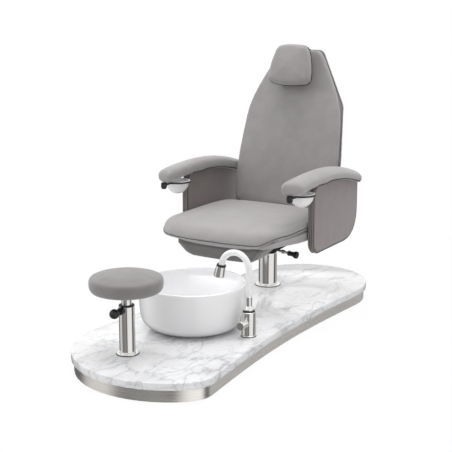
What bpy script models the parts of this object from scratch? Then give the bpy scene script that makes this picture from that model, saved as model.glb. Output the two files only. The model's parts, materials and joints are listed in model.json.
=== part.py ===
"""Podiatry chair: a swivelling, reclining chair on a marble platform with basin, tap and footrest.

Metres, +Z up. The origin is on the floor under the chair column, and the chair faces -Y.
"""
import math

import bmesh
import bpy
from mathutils import Matrix, Vector

# General fits
SEAT_GAP = 0.0003          # between pieces that rest on each other
RUNNING_GAP = 0.0004       # radial gap of turning and sliding fits
OVERRUN = 0.02             # how far a cutter passes the faces it opens
CHAMFER = 0.0015           # broken edge on turned pieces
WELD = 0.00002             # points closer than this are one

# Platform
BAND_HEIGHT = 0.045
BAND_LIFT = 0.0005         # the steel band stays just off the floor
BAND_WALL = 0.0015
BAND_RECESS = 0.010        # from the slab's edge in to the band
SLAB_THICKNESS = 0.027
SLAB_EDGE = 0.004
FRONT_LOBE = Vector((0.104, -0.910))
FRONT_LOBE_RADIUS = 0.3745
FRONT_CORNER_RADIUS = 0.120
FRONT_CORNER_START = math.radians(-50)
REAR_LOBE = Vector((0.106, 0.148))
REAR_LOBE_RADIUS = 0.274
WAIST_DEPTH = 0.036
SERVICE_CHANNEL_WIDTH = 0.080
SERVICE_CHANNEL_DEPTH = 0.024
SLAB_TOP = BAND_HEIGHT + SLAB_THICKNESS

# Basin
BASIN_CENTRE = Vector((0.030, -0.665))
BASIN_RADIUS = 0.207
BASIN_HEIGHT = 0.177
BASIN_FOOT_RADIUS = 0.138
BASIN_WALL = 0.010
BASIN_BEND_SHARE = 0.36    # share of the height that the foot's bend takes
BASIN_DRAFT = 0.003        # how far the wall leans in down to the bend
BASIN_RIM_ROUND = 0.003
WASTE_SEAT_STEP = 0.002    # the basin's floor dips to the waste
WASTE_SEAT_RADIUS = 0.041
WASTE_FLANGE_RADIUS = 0.031
WASTE_FLANGE_THICKNESS = 0.003
WASTE_TAIL_RADIUS = 0.020
WASTE_BORE_RADIUS = 0.014
WASTE_TAIL_LENGTH = 0.062
STOPPER_RADIUS = 0.024
STOPPER_HEIGHT = 0.007
STOPPER_DOME = 0.005
STOPPER_STEM_RADIUS = 0.005
STOPPER_STEM_LENGTH = 0.030

# Footrest
FOOTREST_SETBACK = 0.2275  # post's axis from the slab's front edge
FOOTREST_Y = FRONT_LOBE.y - FRONT_LOBE_RADIUS + FOOTREST_SETBACK
FOOT_FLANGE_RADIUS = 0.041
FOOT_FLANGE_THICKNESS = 0.005
FOOT_SLEEVE_RADIUS = 0.0285
FOOT_SLEEVE_WALL = 0.003
FOOT_SLEEVE_TOP = 0.178    # above the slab
FOOT_SLEEVE_BURY = 0.052   # below the slab's top
FOOT_COLLAR_LIP = 0.004
FOOT_COLLAR_DEPTH = 0.022
FOOT_POST_RADIUS = 0.0185
FOOT_POST_STROKE = 0.100
FOOT_GUIDE_LENGTH = 0.030
FOOT_GUIDE_CLEARANCE = 0.004  # guide to clamp screw with the pad at its highest
FOOT_PLATE_RADIUS = 0.085
FOOT_PLATE_THICKNESS = 0.006
FOOT_PAD_RADIUS = 0.134
FOOT_PAD_THICKNESS = 0.068
FOOT_PAD_CROWN = 0.011
FOOT_PAD_FLAT_SHARE = 0.84  # shares of the pad's radius and thickness, down its side
FOOT_PAD_ROLL_SHARE = 0.16
FOOT_PAD_ROLL_RATIO = 0.8  # roll's depth to its width
FOOT_PAD_SIDE_SHARE = 0.32
FOOT_PAD_TUCK_SHARES = ((0.975, 0.14), (0.925, 0.03), (0.87, 0.0))
FOOT_PAD_BOTTOM = 0.231    # above the slab
KNOB_HEIGHT = 0.166        # clamp screw above the slab
KNOB_BALL_RADIUS = 0.018
KNOB_REACH = 0.074         # ball centre from the post's axis
KNOB_SCREW_RADIUS = 0.004
KNOB_NECK_RADIUS = 0.0075
KNOB_NECK_GAP = 0.004      # neck to boss with the clamp tight
KNOB_TIP_GAP = 0.001       # screw's tip to post
KNOB_BOSS_RADIUS = 0.013
KNOB_BOSS_LENGTH = 0.014

# Tap
TAP_CENTRE = Vector((0.278, -0.667))
TAP_RING_RADIUS = 0.0285
TAP_RING_HEIGHT = 0.006
TAP_BODY_RADIUS = 0.0265
TAP_BODY_TOP = 0.096       # above the slab
TAP_SEAL_HEIGHT = 0.005
TAP_SEAL_RADIUS = 0.0225
TAP_CONE_RADIUS = 0.021
TAP_CONE_HEIGHT = 0.016
TAP_NECK_RADIUS = 0.0130
TAP_NECK_TOP = 0.153
TAP_PIVOT_RADIUS = 0.009
TAP_PIVOT_DEPTH = 0.018
TAP_TAIL_RADIUS = 0.012
TAP_TAIL_LENGTH = 0.055
SPOUT_RADIUS = 0.0122
SPOUT_RISE = 0.315         # crown of the spout's centre line above the slab
SPOUT_REACH = 0.118        # neck axis to the spray head
SPOUT_END = 0.266          # height where the spout meets the spray head
SPRAY_TOP_RADIUS = 0.0165
SPRAY_END_RADIUS = 0.0205
SPRAY_LENGTH = 0.050
SPRAY_COLLAR_HEIGHT = 0.007
SPRAY_RIM = 0.003
SPRAY_ROSE_DEPTH = 0.004
SPRAY_ROSE_RECESS = 0.001
VALVE_HEIGHT = 0.054       # valve axis above the slab
VALVE_RADIUS = 0.0165
VALVE_REACH = 0.064        # from the tap's axis to the end of the valve cap
VALVE_CAP_LENGTH = 0.020
VALVE_STEM_SHARE = 0.45    # stem to cap radius
LEVER_PIN_RADIUS = 0.0030
LEVER_PIN_LENGTH = 0.046

# Chair column and swivel
COLUMN_SEAT = 0.012        # base plate above the floor
COLUMN_RADIUS = 0.040
COLUMN_WALL = 0.003
COLUMN_TOP = 0.146         # above the slab
COLUMN_FLANGE_RADIUS = 0.0555
COLUMN_FLANGE_THICKNESS = 0.005
COLUMN_PLATE_SIZE = 0.150
COLUMN_PLATE_THICKNESS = 0.008
COLUMN_RING_HEIGHT = 0.006
COLUMN_BUSH_DEPTH = 0.030
PISTON_RADIUS = 0.028
PISTON_GUIDE_LENGTH = 0.030
PISTON_STROKE = 0.090
PISTON_SHOW = 0.001        # piston above the ring at its lowest
SWIVEL_PIN_RADIUS = 0.013
SWIVEL_PIN_LENGTH = 0.030
SET_SCREW_RADIUS = 0.0035
SET_SCREW_DROP = 0.014     # below the column's top
SET_SCREW_PROUD = 0.0006
SET_SCREW_FACING = Vector((0.5, -0.866, 0.0))

# Seat
HUB_RADIUS = 0.036
HUB_HEIGHT = 0.046
HUB_SHOULDER = 0.0072
SPIDER_REACH = 0.235
SPIDER_ARM_START = 0.002   # arm's lower edge above the hub's underside
SPIDER_ARM_WIDTH = 0.044
SPIDER_ROOT_DEPTH = 0.0182  # arm's depth at the hub
SPIDER_ARM_LEVEL = 0.010    # the arm runs level this far from the hub before it rises
SPIDER_FOOT_LENGTH = 0.060
SPIDER_FOOT_THICKNESS = 0.006
SPIDER_HAUNCH = 0.020
SEAT_BASE_BOTTOM = 0.258   # above the slab
SEAT_BASE_TOP = 0.302
SEAT_BASE_REAR = 0.205
SEAT_BASE_TUCK = 0.050     # how far the base draws in at its bottom front
SEAT_FRONT_HALF_WIDTH = 0.284
SEAT_CORNER = 0.018        # how far the front corners draw in
SEAT_WIDENS_FROM = -0.320  # the sides widen to the panels between these two
SEAT_WIDENS_TO = -0.190
SEAT_FRONT = -0.440
SEAT_NOSE = 0.044          # bow of the front edge
SEAT_REAR = 0.098
SEAT_SIDE_GAP = 0.002      # cushion to side panel
SEAT_CUSHION_GAP = 0.0007  # cushion to base
SEAT_THICKNESS = 0.032     # at the cushion's edge
SEAT_CROWN = 0.024
SEAT_FRONT_DROOP = 0.024
APRON_DEPTH = 0.054
APRON_TOP_HALF_WIDTH = 0.204
APRON_BOTTOM_HALF_WIDTH = 0.150
APRON_FRONT = -0.432
APRON_REAR = -0.240
APRON_RAKE = 0.014
APRON_REAR_RAKE = 0.090

# Arms
PANEL_X = 0.3015
PANEL_THICKNESS = 0.032
PANEL_FRONT = -0.198
PANEL_REAR = 0.226
PANEL_BOTTOM = 0.213       # above the slab
PANEL_FRONT_RADIUS = 0.050
PANEL_REAR_RADIUS = 0.115
PANEL_TOP_RADIUS = 0.048
PANEL_EDGE = 0.013
PAD_X = 0.297
PAD_WIDTH = 0.088
PAD_FRONT = -0.410
PAD_REAR = 0.262
PAD_TOP = 0.560            # crest above the slab
PAD_CREST_Y = -0.120
PAD_DROOP_FRONT = 0.016
PAD_DROOP_REAR = 0.060
PAD_FRONT_DEPTH = 0.068
PAD_REAR_DEPTH = 0.044
PAD_STEP_FRONT = -0.205    # the pad deepens over the panel's front corner
PAD_STEP_REAR = -0.070
PAD_CROWN = 0.006
PAD_OUTER_FALL = 0.018     # the top falls away to the outside
PAD_NOSE_SKEW = 0.030      # the outer front corner is set back
PAD_NARROWING = 0.45       # share of the width lost at the ends
PAD_TAPER = 0.30           # share of the depth lost at the ends
PAD_SEAT_GAP = 0.0004
PAD_ROWS = 10

# Manicure bowls under the arms
TRAY_PIVOT_X = 0.293
TRAY_PIVOT_Y = -0.372
TRAY_PIVOT_RADIUS = 0.007
TRAY_POST_LENGTH = 0.026
TRAY_HEAD_RADIUS = 0.011
TRAY_HEAD_HEIGHT = 0.006
TRAY_CAP_HEIGHT = 0.003    # post's upper collar
TRAY_RING_DROP = 0.004     # ring below the eye's top
TRAY_EYE_RADIUS = 0.0125
TRAY_ARM_WIDTH = 0.014
TRAY_PLATE = 0.006
TRAY_REACH = 0.104         # pivot to bowl centre
BOWL_RADIUS = 0.050
BOWL_DEPTH = 0.056
BOWL_WALL = 0.003
BOWL_LIP = 0.002
TRAY_RING_WIDTH = 0.006

# Height lever
LEVER_HEIGHT = 0.0062      # above the hub's underside
LEVER_PIVOT = 0.026        # from the column's axis
LEVER_PLAY = 0.0025        # room above the rod in the hub's slot
LEVER_SLOT_END = 0.078
LEVER_ROD_RADIUS = 0.005
LEVER_NUT_RADIUS = 0.009
LEVER_NUT_START = 0.043    # along the rod
LEVER_NUT_LENGTH = 0.012
LEVER_LENGTH = 0.120
LEVER_DROP = math.radians(5)
GRIP_LENGTH = 0.047
GRIP_SMALL_RADIUS = 0.009
GRIP_END_RADIUS = 0.014
GRIP_EDGE = 0.004          # lengths back from the grip's end
GRIP_BELL = 0.012
GRIP_FLARE = 0.022
GRIP_BEAD = 0.002          # bead at the grip's root: its rise, place and end
GRIP_BEAD_PLACE = 0.006
GRIP_BEAD_END = 0.010

# Backrest, drawn upright from its hinge and then leaned back
BACK_LEAN = math.radians(15)
BACK_FRONT_Y = 0.109       # front face at the seat
HINGE_SETBACK = 0.062      # hinge axis behind the front face
HINGE_RISE = 0.017         # hinge axis above the seat base
BACK_HEIGHT = 0.700
BACK_BOTTOM = -0.012       # lower edge from the hinge axis
BACK_HALF_WIDTH = 0.243
BACK_WIDEST = 0.249
BACK_WIDEST_HEIGHT = 0.210
SHOULDER_HALF_WIDTH = 0.225
SHOULDER_HEIGHT = 0.462
BACK_TOP_HALF_WIDTH = 0.096
BACK_SHELL_THICKNESS = 0.022
BACK_SHELL_EDGE = 0.006
BACK_CUSHION_THICKNESS = 0.026
BACK_CUSHION_INSET = 0.002  # cushion's sides in from the shell's
BACK_CUSHION_ENDS = 0.004   # cushion's ends in from the shell's
BACK_CROWN = 0.020
BACK_CORNER_RADIUS = 0.030
BACK_SIDE_RADIUS = 0.400
SHOULDER_RADIUS = 0.080
LUG_X = 0.200
LUG_THICKNESS = 0.006
LUG_RADIUS = 0.014
LUG_LENGTH = 0.080
HINGE_PIN_RADIUS = 0.005
HINGE_PIN_HEAD = 0.004
HINGE_HEAD_RADIUS = 0.008

# Headrest
PILLOW_HEIGHT = 0.180
PILLOW_TOP_HALF_WIDTH = 0.076
PILLOW_BOTTOM_HALF_WIDTH = 0.112
PILLOW_THICKNESS = 0.062
PILLOW_CROWN = 0.012
PILLOW_ROUNDING = 0.20     # how far the corners draw in
PILLOW_TOP = 0.702         # pillow's top above the hinge axis
PILLOW_STANDOFF = 0.008    # board to cushion
STRAP_WIDTH = 0.060
STRAP_THICKNESS = 0.003
STRAP_TAIL = 0.150
STRAP_FRONT_DROP = 0.090
GUIDE_WALL = 0.003
GUIDE_HEIGHT = 0.060
GUIDE_DROP = 0.080         # guide's top below the back's top
HEADREST_BOARD_THICKNESS = 0.008
HEADREST_BOARD_INSET = 0.034
HEADREST_BOARD_CORNER = 0.020

# Facets
FINE_STEPS = 36
ROUND_STEPS = 24
SMALL_STEPS = 12

OBJECT_NAME = "podiatry_chair"

# Stands a flat plate up in the YZ plane: its x, y and z become y, z and x
SIDEWAYS = Matrix(((0, 0, 1, 0), (1, 0, 0, 0), (0, 1, 0, 0), (0, 0, 0, 1)))


def clear_scene():
    for old in list(bpy.data.objects):
        bpy.data.objects.remove(old, do_unlink=True)


def new_collection(name):
    collection = bpy.data.collections.new(name)
    bpy.context.scene.collection.children.link(collection)
    return collection


def make_material(name, colour, roughness, metallic=0.0):
    material = bpy.data.materials.new(name)
    material.use_nodes = True
    shader = material.node_tree.nodes["Principled BSDF"]
    shader.inputs["Base Color"].default_value = (*colour, 1.0)
    shader.inputs["Roughness"].default_value = roughness
    shader.inputs["Metallic"].default_value = metallic
    return material


FINISHES = {
    "marble": ((0.83, 0.83, 0.84), 0.12, 0.0),
    "brushed_steel": ((0.56, 0.54, 0.52), 0.32, 1.0),
    "chrome": ((0.80, 0.80, 0.80), 0.08, 1.0),
    "plain_steel": ((0.55, 0.55, 0.56), 0.35, 1.0),
    "leatherette": ((0.30, 0.285, 0.28), 0.55, 0.0),
    "ceramic": ((0.90, 0.90, 0.90), 0.10, 0.0),
    "white_plastic": ((0.88, 0.88, 0.88), 0.30, 0.0),
    "black_plastic": ((0.015, 0.015, 0.015), 0.40, 0.0),
    "black_steel": ((0.02, 0.02, 0.02), 0.45, 0.3),
    "board": ((0.45, 0.33, 0.20), 0.80, 0.0),
}


# Building blocks

def place(obj, finish, parent=None):
    """Put a finished piece in the parts collection with its own material."""
    colour, roughness, metallic = FINISHES[finish]
    obj.data.materials.clear()
    obj.data.materials.append(make_material(obj.name, colour, roughness, metallic))
    if obj.name not in PARTS.objects:
        PARTS.objects.link(obj)
    if parent is not None:
        obj.parent = parent
    return obj


def joint_axis(name, location, lean=0.0, parent=None):
    """Empty on a joint's axis; pieces drawn around it are its children."""
    empty = bpy.data.objects.new(name, None)
    empty.location = location
    empty.rotation_euler = (lean, 0.0, 0.0)
    empty.empty_display_size = 0.05
    PARTS.objects.link(empty)
    empty.parent = parent
    return empty


def baked(obj):
    """Replace an object by the closed mesh that its curve or modifiers make."""
    bpy.context.view_layer.update()
    depsgraph = bpy.context.evaluated_depsgraph_get()
    mesh = bpy.data.meshes.new_from_object(obj.evaluated_get(depsgraph))
    mesh.transform(obj.matrix_world)
    name = obj.name
    bpy.data.objects.remove(obj, do_unlink=True)
    solid = bmesh.new()
    solid.from_mesh(mesh)
    bmesh.ops.remove_doubles(solid, verts=solid.verts, dist=WELD)
    bmesh.ops.recalc_face_normals(solid, faces=solid.faces)
    solid.to_mesh(mesh)
    solid.free()
    result = bpy.data.objects.new(name, mesh)
    PARTS.objects.link(result)
    return result


def smooth(obj, angle=35):
    obj.data.shade_smooth()
    obj.data.set_sharp_from_angle(angle=math.radians(angle))
    return obj


def turned(name, profile, steps=ROUND_STEPS, location=(0, 0, 0), closed=False):
    """Turn a profile of (radius, height) points, listed down the outer side."""
    mesh = bpy.data.meshes.new(name)
    edges = [(i, i + 1) for i in range(len(profile) - 1)]
    if closed:
        edges.append((len(profile) - 1, 0))
    mesh.from_pydata([(r, 0.0, z) for r, z in profile], edges, [])
    obj = bpy.data.objects.new(name, mesh)
    PARTS.objects.link(obj)
    screw = obj.modifiers.new("turn", "SCREW")
    screw.steps = steps
    screw.render_steps = steps
    screw.use_merge_vertices = True
    screw.merge_threshold = WELD
    obj.location = location
    return smooth(baked(obj))


def tube_profile(outer, inner, top, bottom):
    return [(inner, top), (outer, top), (outer, bottom), (inner, bottom)]


def disc_profile(radius, top, bottom):
    return [(0.0, top), (radius, top), (radius, bottom), (0.0, bottom)]


def plate(name, loops, bottom, top):
    """Flat plate between two heights from closed outlines; further loops are holes."""
    curve = bpy.data.curves.new(name, "CURVE")
    curve.dimensions = "2D"
    curve.fill_mode = "BOTH"
    curve.extrude = (top - bottom) / 2
    for loop in loops:
        spline = curve.splines.new("POLY")
        spline.points.add(len(loop) - 1)
        for point, (x, y) in zip(spline.points, loop):
            point.co = (x, y, 0.0, 1.0)
        spline.use_cyclic_u = True
    obj = bpy.data.objects.new(name, curve)
    PARTS.objects.link(obj)
    obj.location = (0.0, 0.0, (top + bottom) / 2)
    return baked(obj)


def tube(name, points, radius, resolution=3):
    """Round bar or tube along a list of points, with closed ends."""
    curve = bpy.data.curves.new(name, "CURVE")
    curve.dimensions = "3D"
    curve.bevel_depth = radius
    curve.bevel_resolution = resolution
    curve.use_fill_caps = True
    spline = curve.splines.new("POLY")
    spline.points.add(len(points) - 1)
    for point, co in zip(spline.points, points):
        point.co = (*co, 1.0)
    obj = bpy.data.objects.new(name, curve)
    PARTS.objects.link(obj)
    return smooth(baked(obj), 50)


def box(name, size, centre):
    mesh = bpy.data.meshes.new(name)
    solid = bmesh.new()
    bmesh.ops.create_cube(solid, size=1.0)
    bmesh.ops.scale(solid, vec=size, verts=solid.verts)
    bmesh.ops.translate(solid, vec=centre, verts=solid.verts)
    solid.to_mesh(mesh)
    solid.free()
    obj = bpy.data.objects.new(name, mesh)
    PARTS.objects.link(obj)
    return obj


def soft_block(name, shape, cuts, levels=1):
    """Cushion: a cube cut into a cage, moved into shape by a function of (u, v, w), then subdivided."""
    solid = bmesh.new()
    bmesh.ops.create_cube(solid, size=2.0)
    for axis, count in enumerate(cuts):
        along = [e for e in solid.edges if abs((e.verts[0].co - e.verts[1].co)[axis]) > 1.0]
        bmesh.ops.subdivide_edges(solid, edges=along, cuts=count, use_grid_fill=True)
    for vert in solid.verts:
        vert.co = Vector(shape(*vert.co))
    bmesh.ops.recalc_face_normals(solid, faces=solid.faces)
    mesh = bpy.data.meshes.new(name)
    solid.to_mesh(mesh)
    solid.free()
    mesh.shade_smooth()
    obj = bpy.data.objects.new(name, mesh)
    PARTS.objects.link(obj)
    subdivision = obj.modifiers.new("soften", "SUBSURF")
    subdivision.levels = levels
    subdivision.render_levels = levels
    subdivision.use_limit_surface = False
    return obj


def round_edges(obj, width, segments=2, angle=40):
    bevel = obj.modifiers.new("rounded", "BEVEL")
    bevel.width = width
    bevel.segments = segments
    bevel.limit_method = "ANGLE"
    bevel.angle_limit = math.radians(angle)
    return obj


def as_cutter(obj):
    """Move a solid to the cutters, out of sight."""
    for collection in list(obj.users_collection):
        collection.objects.unlink(obj)
    CUTTERS.objects.link(obj)
    obj.hide_render = True
    obj.display_type = "WIRE"
    return obj


def combine(obj, tool, operation):
    boolean = obj.modifiers.new(operation.lower(), "BOOLEAN")
    boolean.operation = operation
    boolean.solver = "EXACT"
    boolean.object = as_cutter(tool)
    return obj


def cut_round(obj, name, radius, centre, bottom, top, steps=ROUND_STEPS):
    cutter = turned(name, disc_profile(radius, top, bottom), steps, (*centre, 0.0))
    return combine(obj, cutter, "DIFFERENCE")


def turn_to(obj, direction, location):
    """Lay a piece turned about Z along a direction, from a location."""
    rotation = Vector((0, 0, 1)).rotation_difference(Vector(direction)).to_matrix().to_4x4()
    obj.matrix_world = Matrix.Translation(location) @ rotation
    return obj


def arc(centre, radius, start, end, count):
    angles = [start + (end - start) * i / (count - 1) for i in range(count)]
    return [(centre[0] + radius * math.cos(a), centre[1] + radius * math.sin(a)) for a in angles]


def rounded(corners, steps=5):
    """Closed outline from (x, y, radius) corners, each filleted by an arc."""
    points = []
    for i, (x, y, radius) in enumerate(corners):
        here = Vector((x, y))
        before = (Vector(corners[i - 1][:2]) - here).normalized()
        after = (Vector(corners[(i + 1) % len(corners)][:2]) - here).normalized()
        half = before.angle(after) / 2
        if radius <= 0.0:
            points.append((x, y))
            continue
        middle = here + (before + after).normalized() * radius / math.sin(half)
        first = here + before * radius / math.tan(half) - middle
        last = here + after * radius / math.tan(half) - middle
        turn = first.angle_signed(last)
        for k in range(steps + 1):
            spin = Matrix.Rotation(-turn * k / steps, 2)
            points.append(tuple(middle + spin @ first))
    return points


def inset(points, distance):
    """Shift a counter-clockwise outline inwards along its normals."""
    moved = []
    for i, point in enumerate(points):
        along = (Vector(points[(i + 1) % len(points)]) - Vector(points[i - 1])).normalized()
        moved.append((point[0] - along.y * distance, point[1] + along.x * distance))
    return moved


def mix(start, end, t):
    return start + (end - start) * t


# Platform

def platform_outline():
    """Two lobes of unlike size: straight on the left, drawn in at the waist on the right."""
    spine = REAR_LOBE - FRONT_LOBE
    tilt = math.asin((FRONT_LOBE_RADIUS - REAR_LOBE_RADIUS) / spine.length)
    heading = math.atan2(spine.y, spine.x)
    left = heading + math.pi / 2 - tilt
    corner_shift = FRONT_LOBE_RADIUS - FRONT_CORNER_RADIUS
    corner = (FRONT_LOBE[0] + corner_shift * math.cos(FRONT_CORNER_START),
              FRONT_LOBE[1] + corner_shift * math.sin(FRONT_CORNER_START))
    lean = math.atan(math.pi * WAIST_DEPTH / (REAR_LOBE[1] - corner[1]))
    front = arc(FRONT_LOBE, FRONT_LOBE_RADIUS, left, 2 * math.pi + FRONT_CORNER_START, 22)
    nose = arc(corner, FRONT_CORNER_RADIUS, FRONT_CORNER_START, lean, 8)[1:]
    rear = arc(REAR_LOBE, REAR_LOBE_RADIUS, -lean, left, 20)
    (x0, y0), (x1, y1) = nose[-1], rear[0]
    waist = [(mix(x0, x1, t) - WAIST_DEPTH * math.sin(math.pi * t), mix(y0, y1, t))
             for t in (i / 10 for i in range(1, 10))]
    return front + nose + waist + rear


def build_platform():
    outline = platform_outline()
    band_top = BAND_HEIGHT - SEAT_GAP
    band_outer = inset(outline, BAND_RECESS)
    band_inner = inset(outline, BAND_RECESS + BAND_WALL)
    place(plate("plinth_band", [band_outer, band_inner], BAND_LIFT, band_top), "brushed_steel")

    core = plate("plinth_core", [inset(outline, BAND_RECESS + BAND_WALL + SEAT_GAP)], 0.0, band_top)
    half = COLUMN_PLATE_SIZE / 2 + 2 * RUNNING_GAP
    pocket = box("column_pocket", (2 * half, 2 * half, BAND_HEIGHT + OVERRUN),
                 (0, 0, COLUMN_SEAT + (BAND_HEIGHT + OVERRUN) / 2))
    combine(core, pocket, "DIFFERENCE")
    channel_end = REAR_LOBE[1] + REAR_LOBE_RADIUS + OVERRUN
    channel = box("service_channel",
                  (SERVICE_CHANNEL_WIDTH, channel_end - BASIN_CENTRE[1], 2 * SERVICE_CHANNEL_DEPTH),
                  (TAP_CENTRE[0] - SERVICE_CHANNEL_WIDTH, (channel_end + BASIN_CENTRE[1]) / 2, 0.0))
    combine(core, channel, "DIFFERENCE")
    for name, centre, radius, bottom in below_slab_bores():
        cut_round(core, name + "_core_bore", radius, centre, bottom, BAND_HEIGHT + OVERRUN)
    place(core, "board")

    slab = plate("marble_top", [outline], BAND_HEIGHT, SLAB_TOP)
    round_edges(slab, SLAB_EDGE)
    for name, centre, radius, _ in below_slab_bores() + [("column", (0, 0), COLUMN_RADIUS, 0.0)]:
        cut_round(slab, name + "_slab_bore", radius + RUNNING_GAP, centre,
                  BAND_HEIGHT - OVERRUN, SLAB_TOP + OVERRUN)
    place(slab, "marble")


def below_slab_bores():
    """Name, centre, radius and lowest height of what passes down through the slab."""
    return [
        ("footrest", (0.0, FOOTREST_Y), FOOT_SLEEVE_RADIUS + RUNNING_GAP,
         SLAB_TOP - FOOT_SLEEVE_BURY - SEAT_GAP),
        ("tap", tuple(TAP_CENTRE), TAP_TAIL_RADIUS + RUNNING_GAP, SLAB_TOP - TAP_TAIL_LENGTH - OVERRUN / 4),
        ("waste", tuple(BASIN_CENTRE), WASTE_TAIL_RADIUS + RUNNING_GAP, -OVERRUN),
    ]


# Basin with its waste and stopper

def build_basin():
    floor = SLAB_TOP + SEAT_GAP
    bend = BASIN_RADIUS - BASIN_FOOT_RADIUS
    bend_height = BASIN_HEIGHT * BASIN_BEND_SHARE
    waist = BASIN_DRAFT / 3
    outer = [(BASIN_RADIUS, BASIN_HEIGHT - BASIN_RIM_ROUND), (BASIN_RADIUS - waist, BASIN_HEIGHT / 2)]
    for k in range(1, 6):
        turn = math.pi / 2 * k / 5
        outer.append((BASIN_FOOT_RADIUS + (bend - BASIN_DRAFT) * math.cos(turn),
                      bend_height * (1 - math.sin(turn))))
    bore = WASTE_TAIL_RADIUS + RUNNING_GAP
    inner_floor = BASIN_WALL
    inner = [(bore, 0.0), (bore, inner_floor - WASTE_SEAT_STEP), (WASTE_SEAT_RADIUS, inner_floor)]
    for k in range(5, 0, -1):
        turn = math.pi / 2 * k / 5
        inner.append((BASIN_FOOT_RADIUS - BASIN_WALL + (bend - BASIN_DRAFT) * math.cos(turn),
                      inner_floor + bend_height * (1 - math.sin(turn))))
    rim_inner = BASIN_RADIUS - BASIN_WALL
    inner += [(rim_inner - waist, BASIN_HEIGHT / 2), (rim_inner, BASIN_HEIGHT - BASIN_RIM_ROUND)]
    rim = [(rim_inner + BASIN_RIM_ROUND, BASIN_HEIGHT), (BASIN_RADIUS - BASIN_RIM_ROUND, BASIN_HEIGHT)]
    basin = turned("basin", rim + outer + inner, FINE_STEPS, (*BASIN_CENTRE, floor), closed=True)
    place(smooth(basin, 60), "ceramic")

    seat = floor + BASIN_WALL + SEAT_GAP
    flange_top = WASTE_FLANGE_THICKNESS
    waste = [(WASTE_BORE_RADIUS, flange_top), (WASTE_FLANGE_RADIUS - CHAMFER, flange_top),
             (WASTE_FLANGE_RADIUS, 0.0), (WASTE_TAIL_RADIUS, 0.0), (WASTE_TAIL_RADIUS, -WASTE_TAIL_LENGTH),
             (WASTE_BORE_RADIUS, -WASTE_TAIL_LENGTH)]
    place(turned("waste_fitting", waste, ROUND_STEPS, (*BASIN_CENTRE, seat), closed=True), "chrome")

    rest = seat + flange_top + SEAT_GAP
    stopper = [(0.0, STOPPER_HEIGHT), (STOPPER_RADIUS / 2, STOPPER_HEIGHT - STOPPER_DOME / 4),
               (STOPPER_RADIUS, STOPPER_HEIGHT - STOPPER_DOME), (STOPPER_RADIUS, 0.0),
               (STOPPER_STEM_RADIUS, 0.0),
               (STOPPER_STEM_RADIUS, -STOPPER_STEM_LENGTH), (0.0, -STOPPER_STEM_LENGTH)]
    axis = joint_axis("stopper_axis", (*BASIN_CENTRE, rest))
    place(turned("waste_stopper", stopper, ROUND_STEPS), "chrome", axis)


# Footrest

def build_footrest():
    centre = (0.0, FOOTREST_Y)
    bottom = SLAB_TOP - FOOT_SLEEVE_BURY
    top = SLAB_TOP + FOOT_SLEEVE_TOP
    bore = FOOT_SLEEVE_RADIUS - FOOT_SLEEVE_WALL

    flange = tube_profile(FOOT_FLANGE_RADIUS, FOOT_SLEEVE_RADIUS + SEAT_GAP, FOOT_FLANGE_THICKNESS, 0.0)
    place(turned("footrest_flange", flange, ROUND_STEPS, (*centre, SLAB_TOP + SEAT_GAP), True), "chrome")

    cup = [(bore, top), (FOOT_SLEEVE_RADIUS, top), (FOOT_SLEEVE_RADIUS, bottom), (0.0, bottom),
           (0.0, bottom + FOOT_SLEEVE_WALL), (bore, bottom + FOOT_SLEEVE_WALL)]
    sleeve = turned("footrest_sleeve", cup, ROUND_STEPS, (*centre, 0.0), True)
    hole = disc_profile(KNOB_SCREW_RADIUS + RUNNING_GAP, KNOB_REACH, 0.0)
    screw_hole = turned("clamp_hole", hole, SMALL_STEPS)
    turn_to(screw_hole, (0, -1, 0), (*centre, SLAB_TOP + KNOB_HEIGHT))
    place(combine(sleeve, screw_hole, "DIFFERENCE"), "chrome")

    collar_bore = FOOT_POST_RADIUS + RUNNING_GAP
    collar = [(collar_bore, FOOT_COLLAR_LIP), (FOOT_SLEEVE_RADIUS - CHAMFER, FOOT_COLLAR_LIP),
              (FOOT_SLEEVE_RADIUS, 0.5 * FOOT_COLLAR_LIP), (FOOT_SLEEVE_RADIUS, 0.0),
              (bore - SEAT_GAP, 0.0), (bore - SEAT_GAP, -collar_depth()), (collar_bore, -collar_depth())]
    place(turned("footrest_collar", collar, ROUND_STEPS, (*centre, top + SEAT_GAP), True), "black_plastic")

    axis = joint_axis("footrest_slide_axis", (*centre, 0.0))
    plate_bottom = SLAB_TOP + FOOT_PAD_BOTTOM - FOOT_PLATE_THICKNESS
    clamp_underside = SLAB_TOP + KNOB_HEIGHT - KNOB_SCREW_RADIUS
    guide_top = clamp_underside - FOOT_POST_STROKE - FOOT_GUIDE_CLEARANCE
    guide_radius = bore - RUNNING_GAP
    post = [(0.0, plate_bottom), (FOOT_POST_RADIUS, plate_bottom), (FOOT_POST_RADIUS, guide_top),
            (guide_radius, guide_top), (guide_radius, guide_top - FOOT_GUIDE_LENGTH),
            (0.0, guide_top - FOOT_GUIDE_LENGTH)]
    place(turned("footrest_post", post, ROUND_STEPS), "chrome", axis)

    plate_z = plate_bottom + SEAT_GAP
    flat = FOOT_PLATE_RADIUS - FOOT_PLATE_THICKNESS / 2
    disc = [(0.0, FOOT_PLATE_THICKNESS), (flat, FOOT_PLATE_THICKNESS),
            (FOOT_PLATE_RADIUS, FOOT_PLATE_THICKNESS / 2), (flat, 0.0), (0.0, 0.0)]
    place(turned("footrest_plate", [(r, z + plate_z) for r, z in disc], ROUND_STEPS), "black_steel", axis)

    pad_z = plate_z + FOOT_PLATE_THICKNESS + SEAT_GAP
    pad = turned("footrest_pad", [(r, z + pad_z) for r, z in foot_pad_profile()], FINE_STEPS)
    place(pad, "leatherette", axis)
    build_clamp_knob(centre)


def collar_depth():
    return min(FOOT_COLLAR_DEPTH, FOOT_SLEEVE_TOP - KNOB_HEIGHT - KNOB_SCREW_RADIUS - 2 * RUNNING_GAP)


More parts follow.
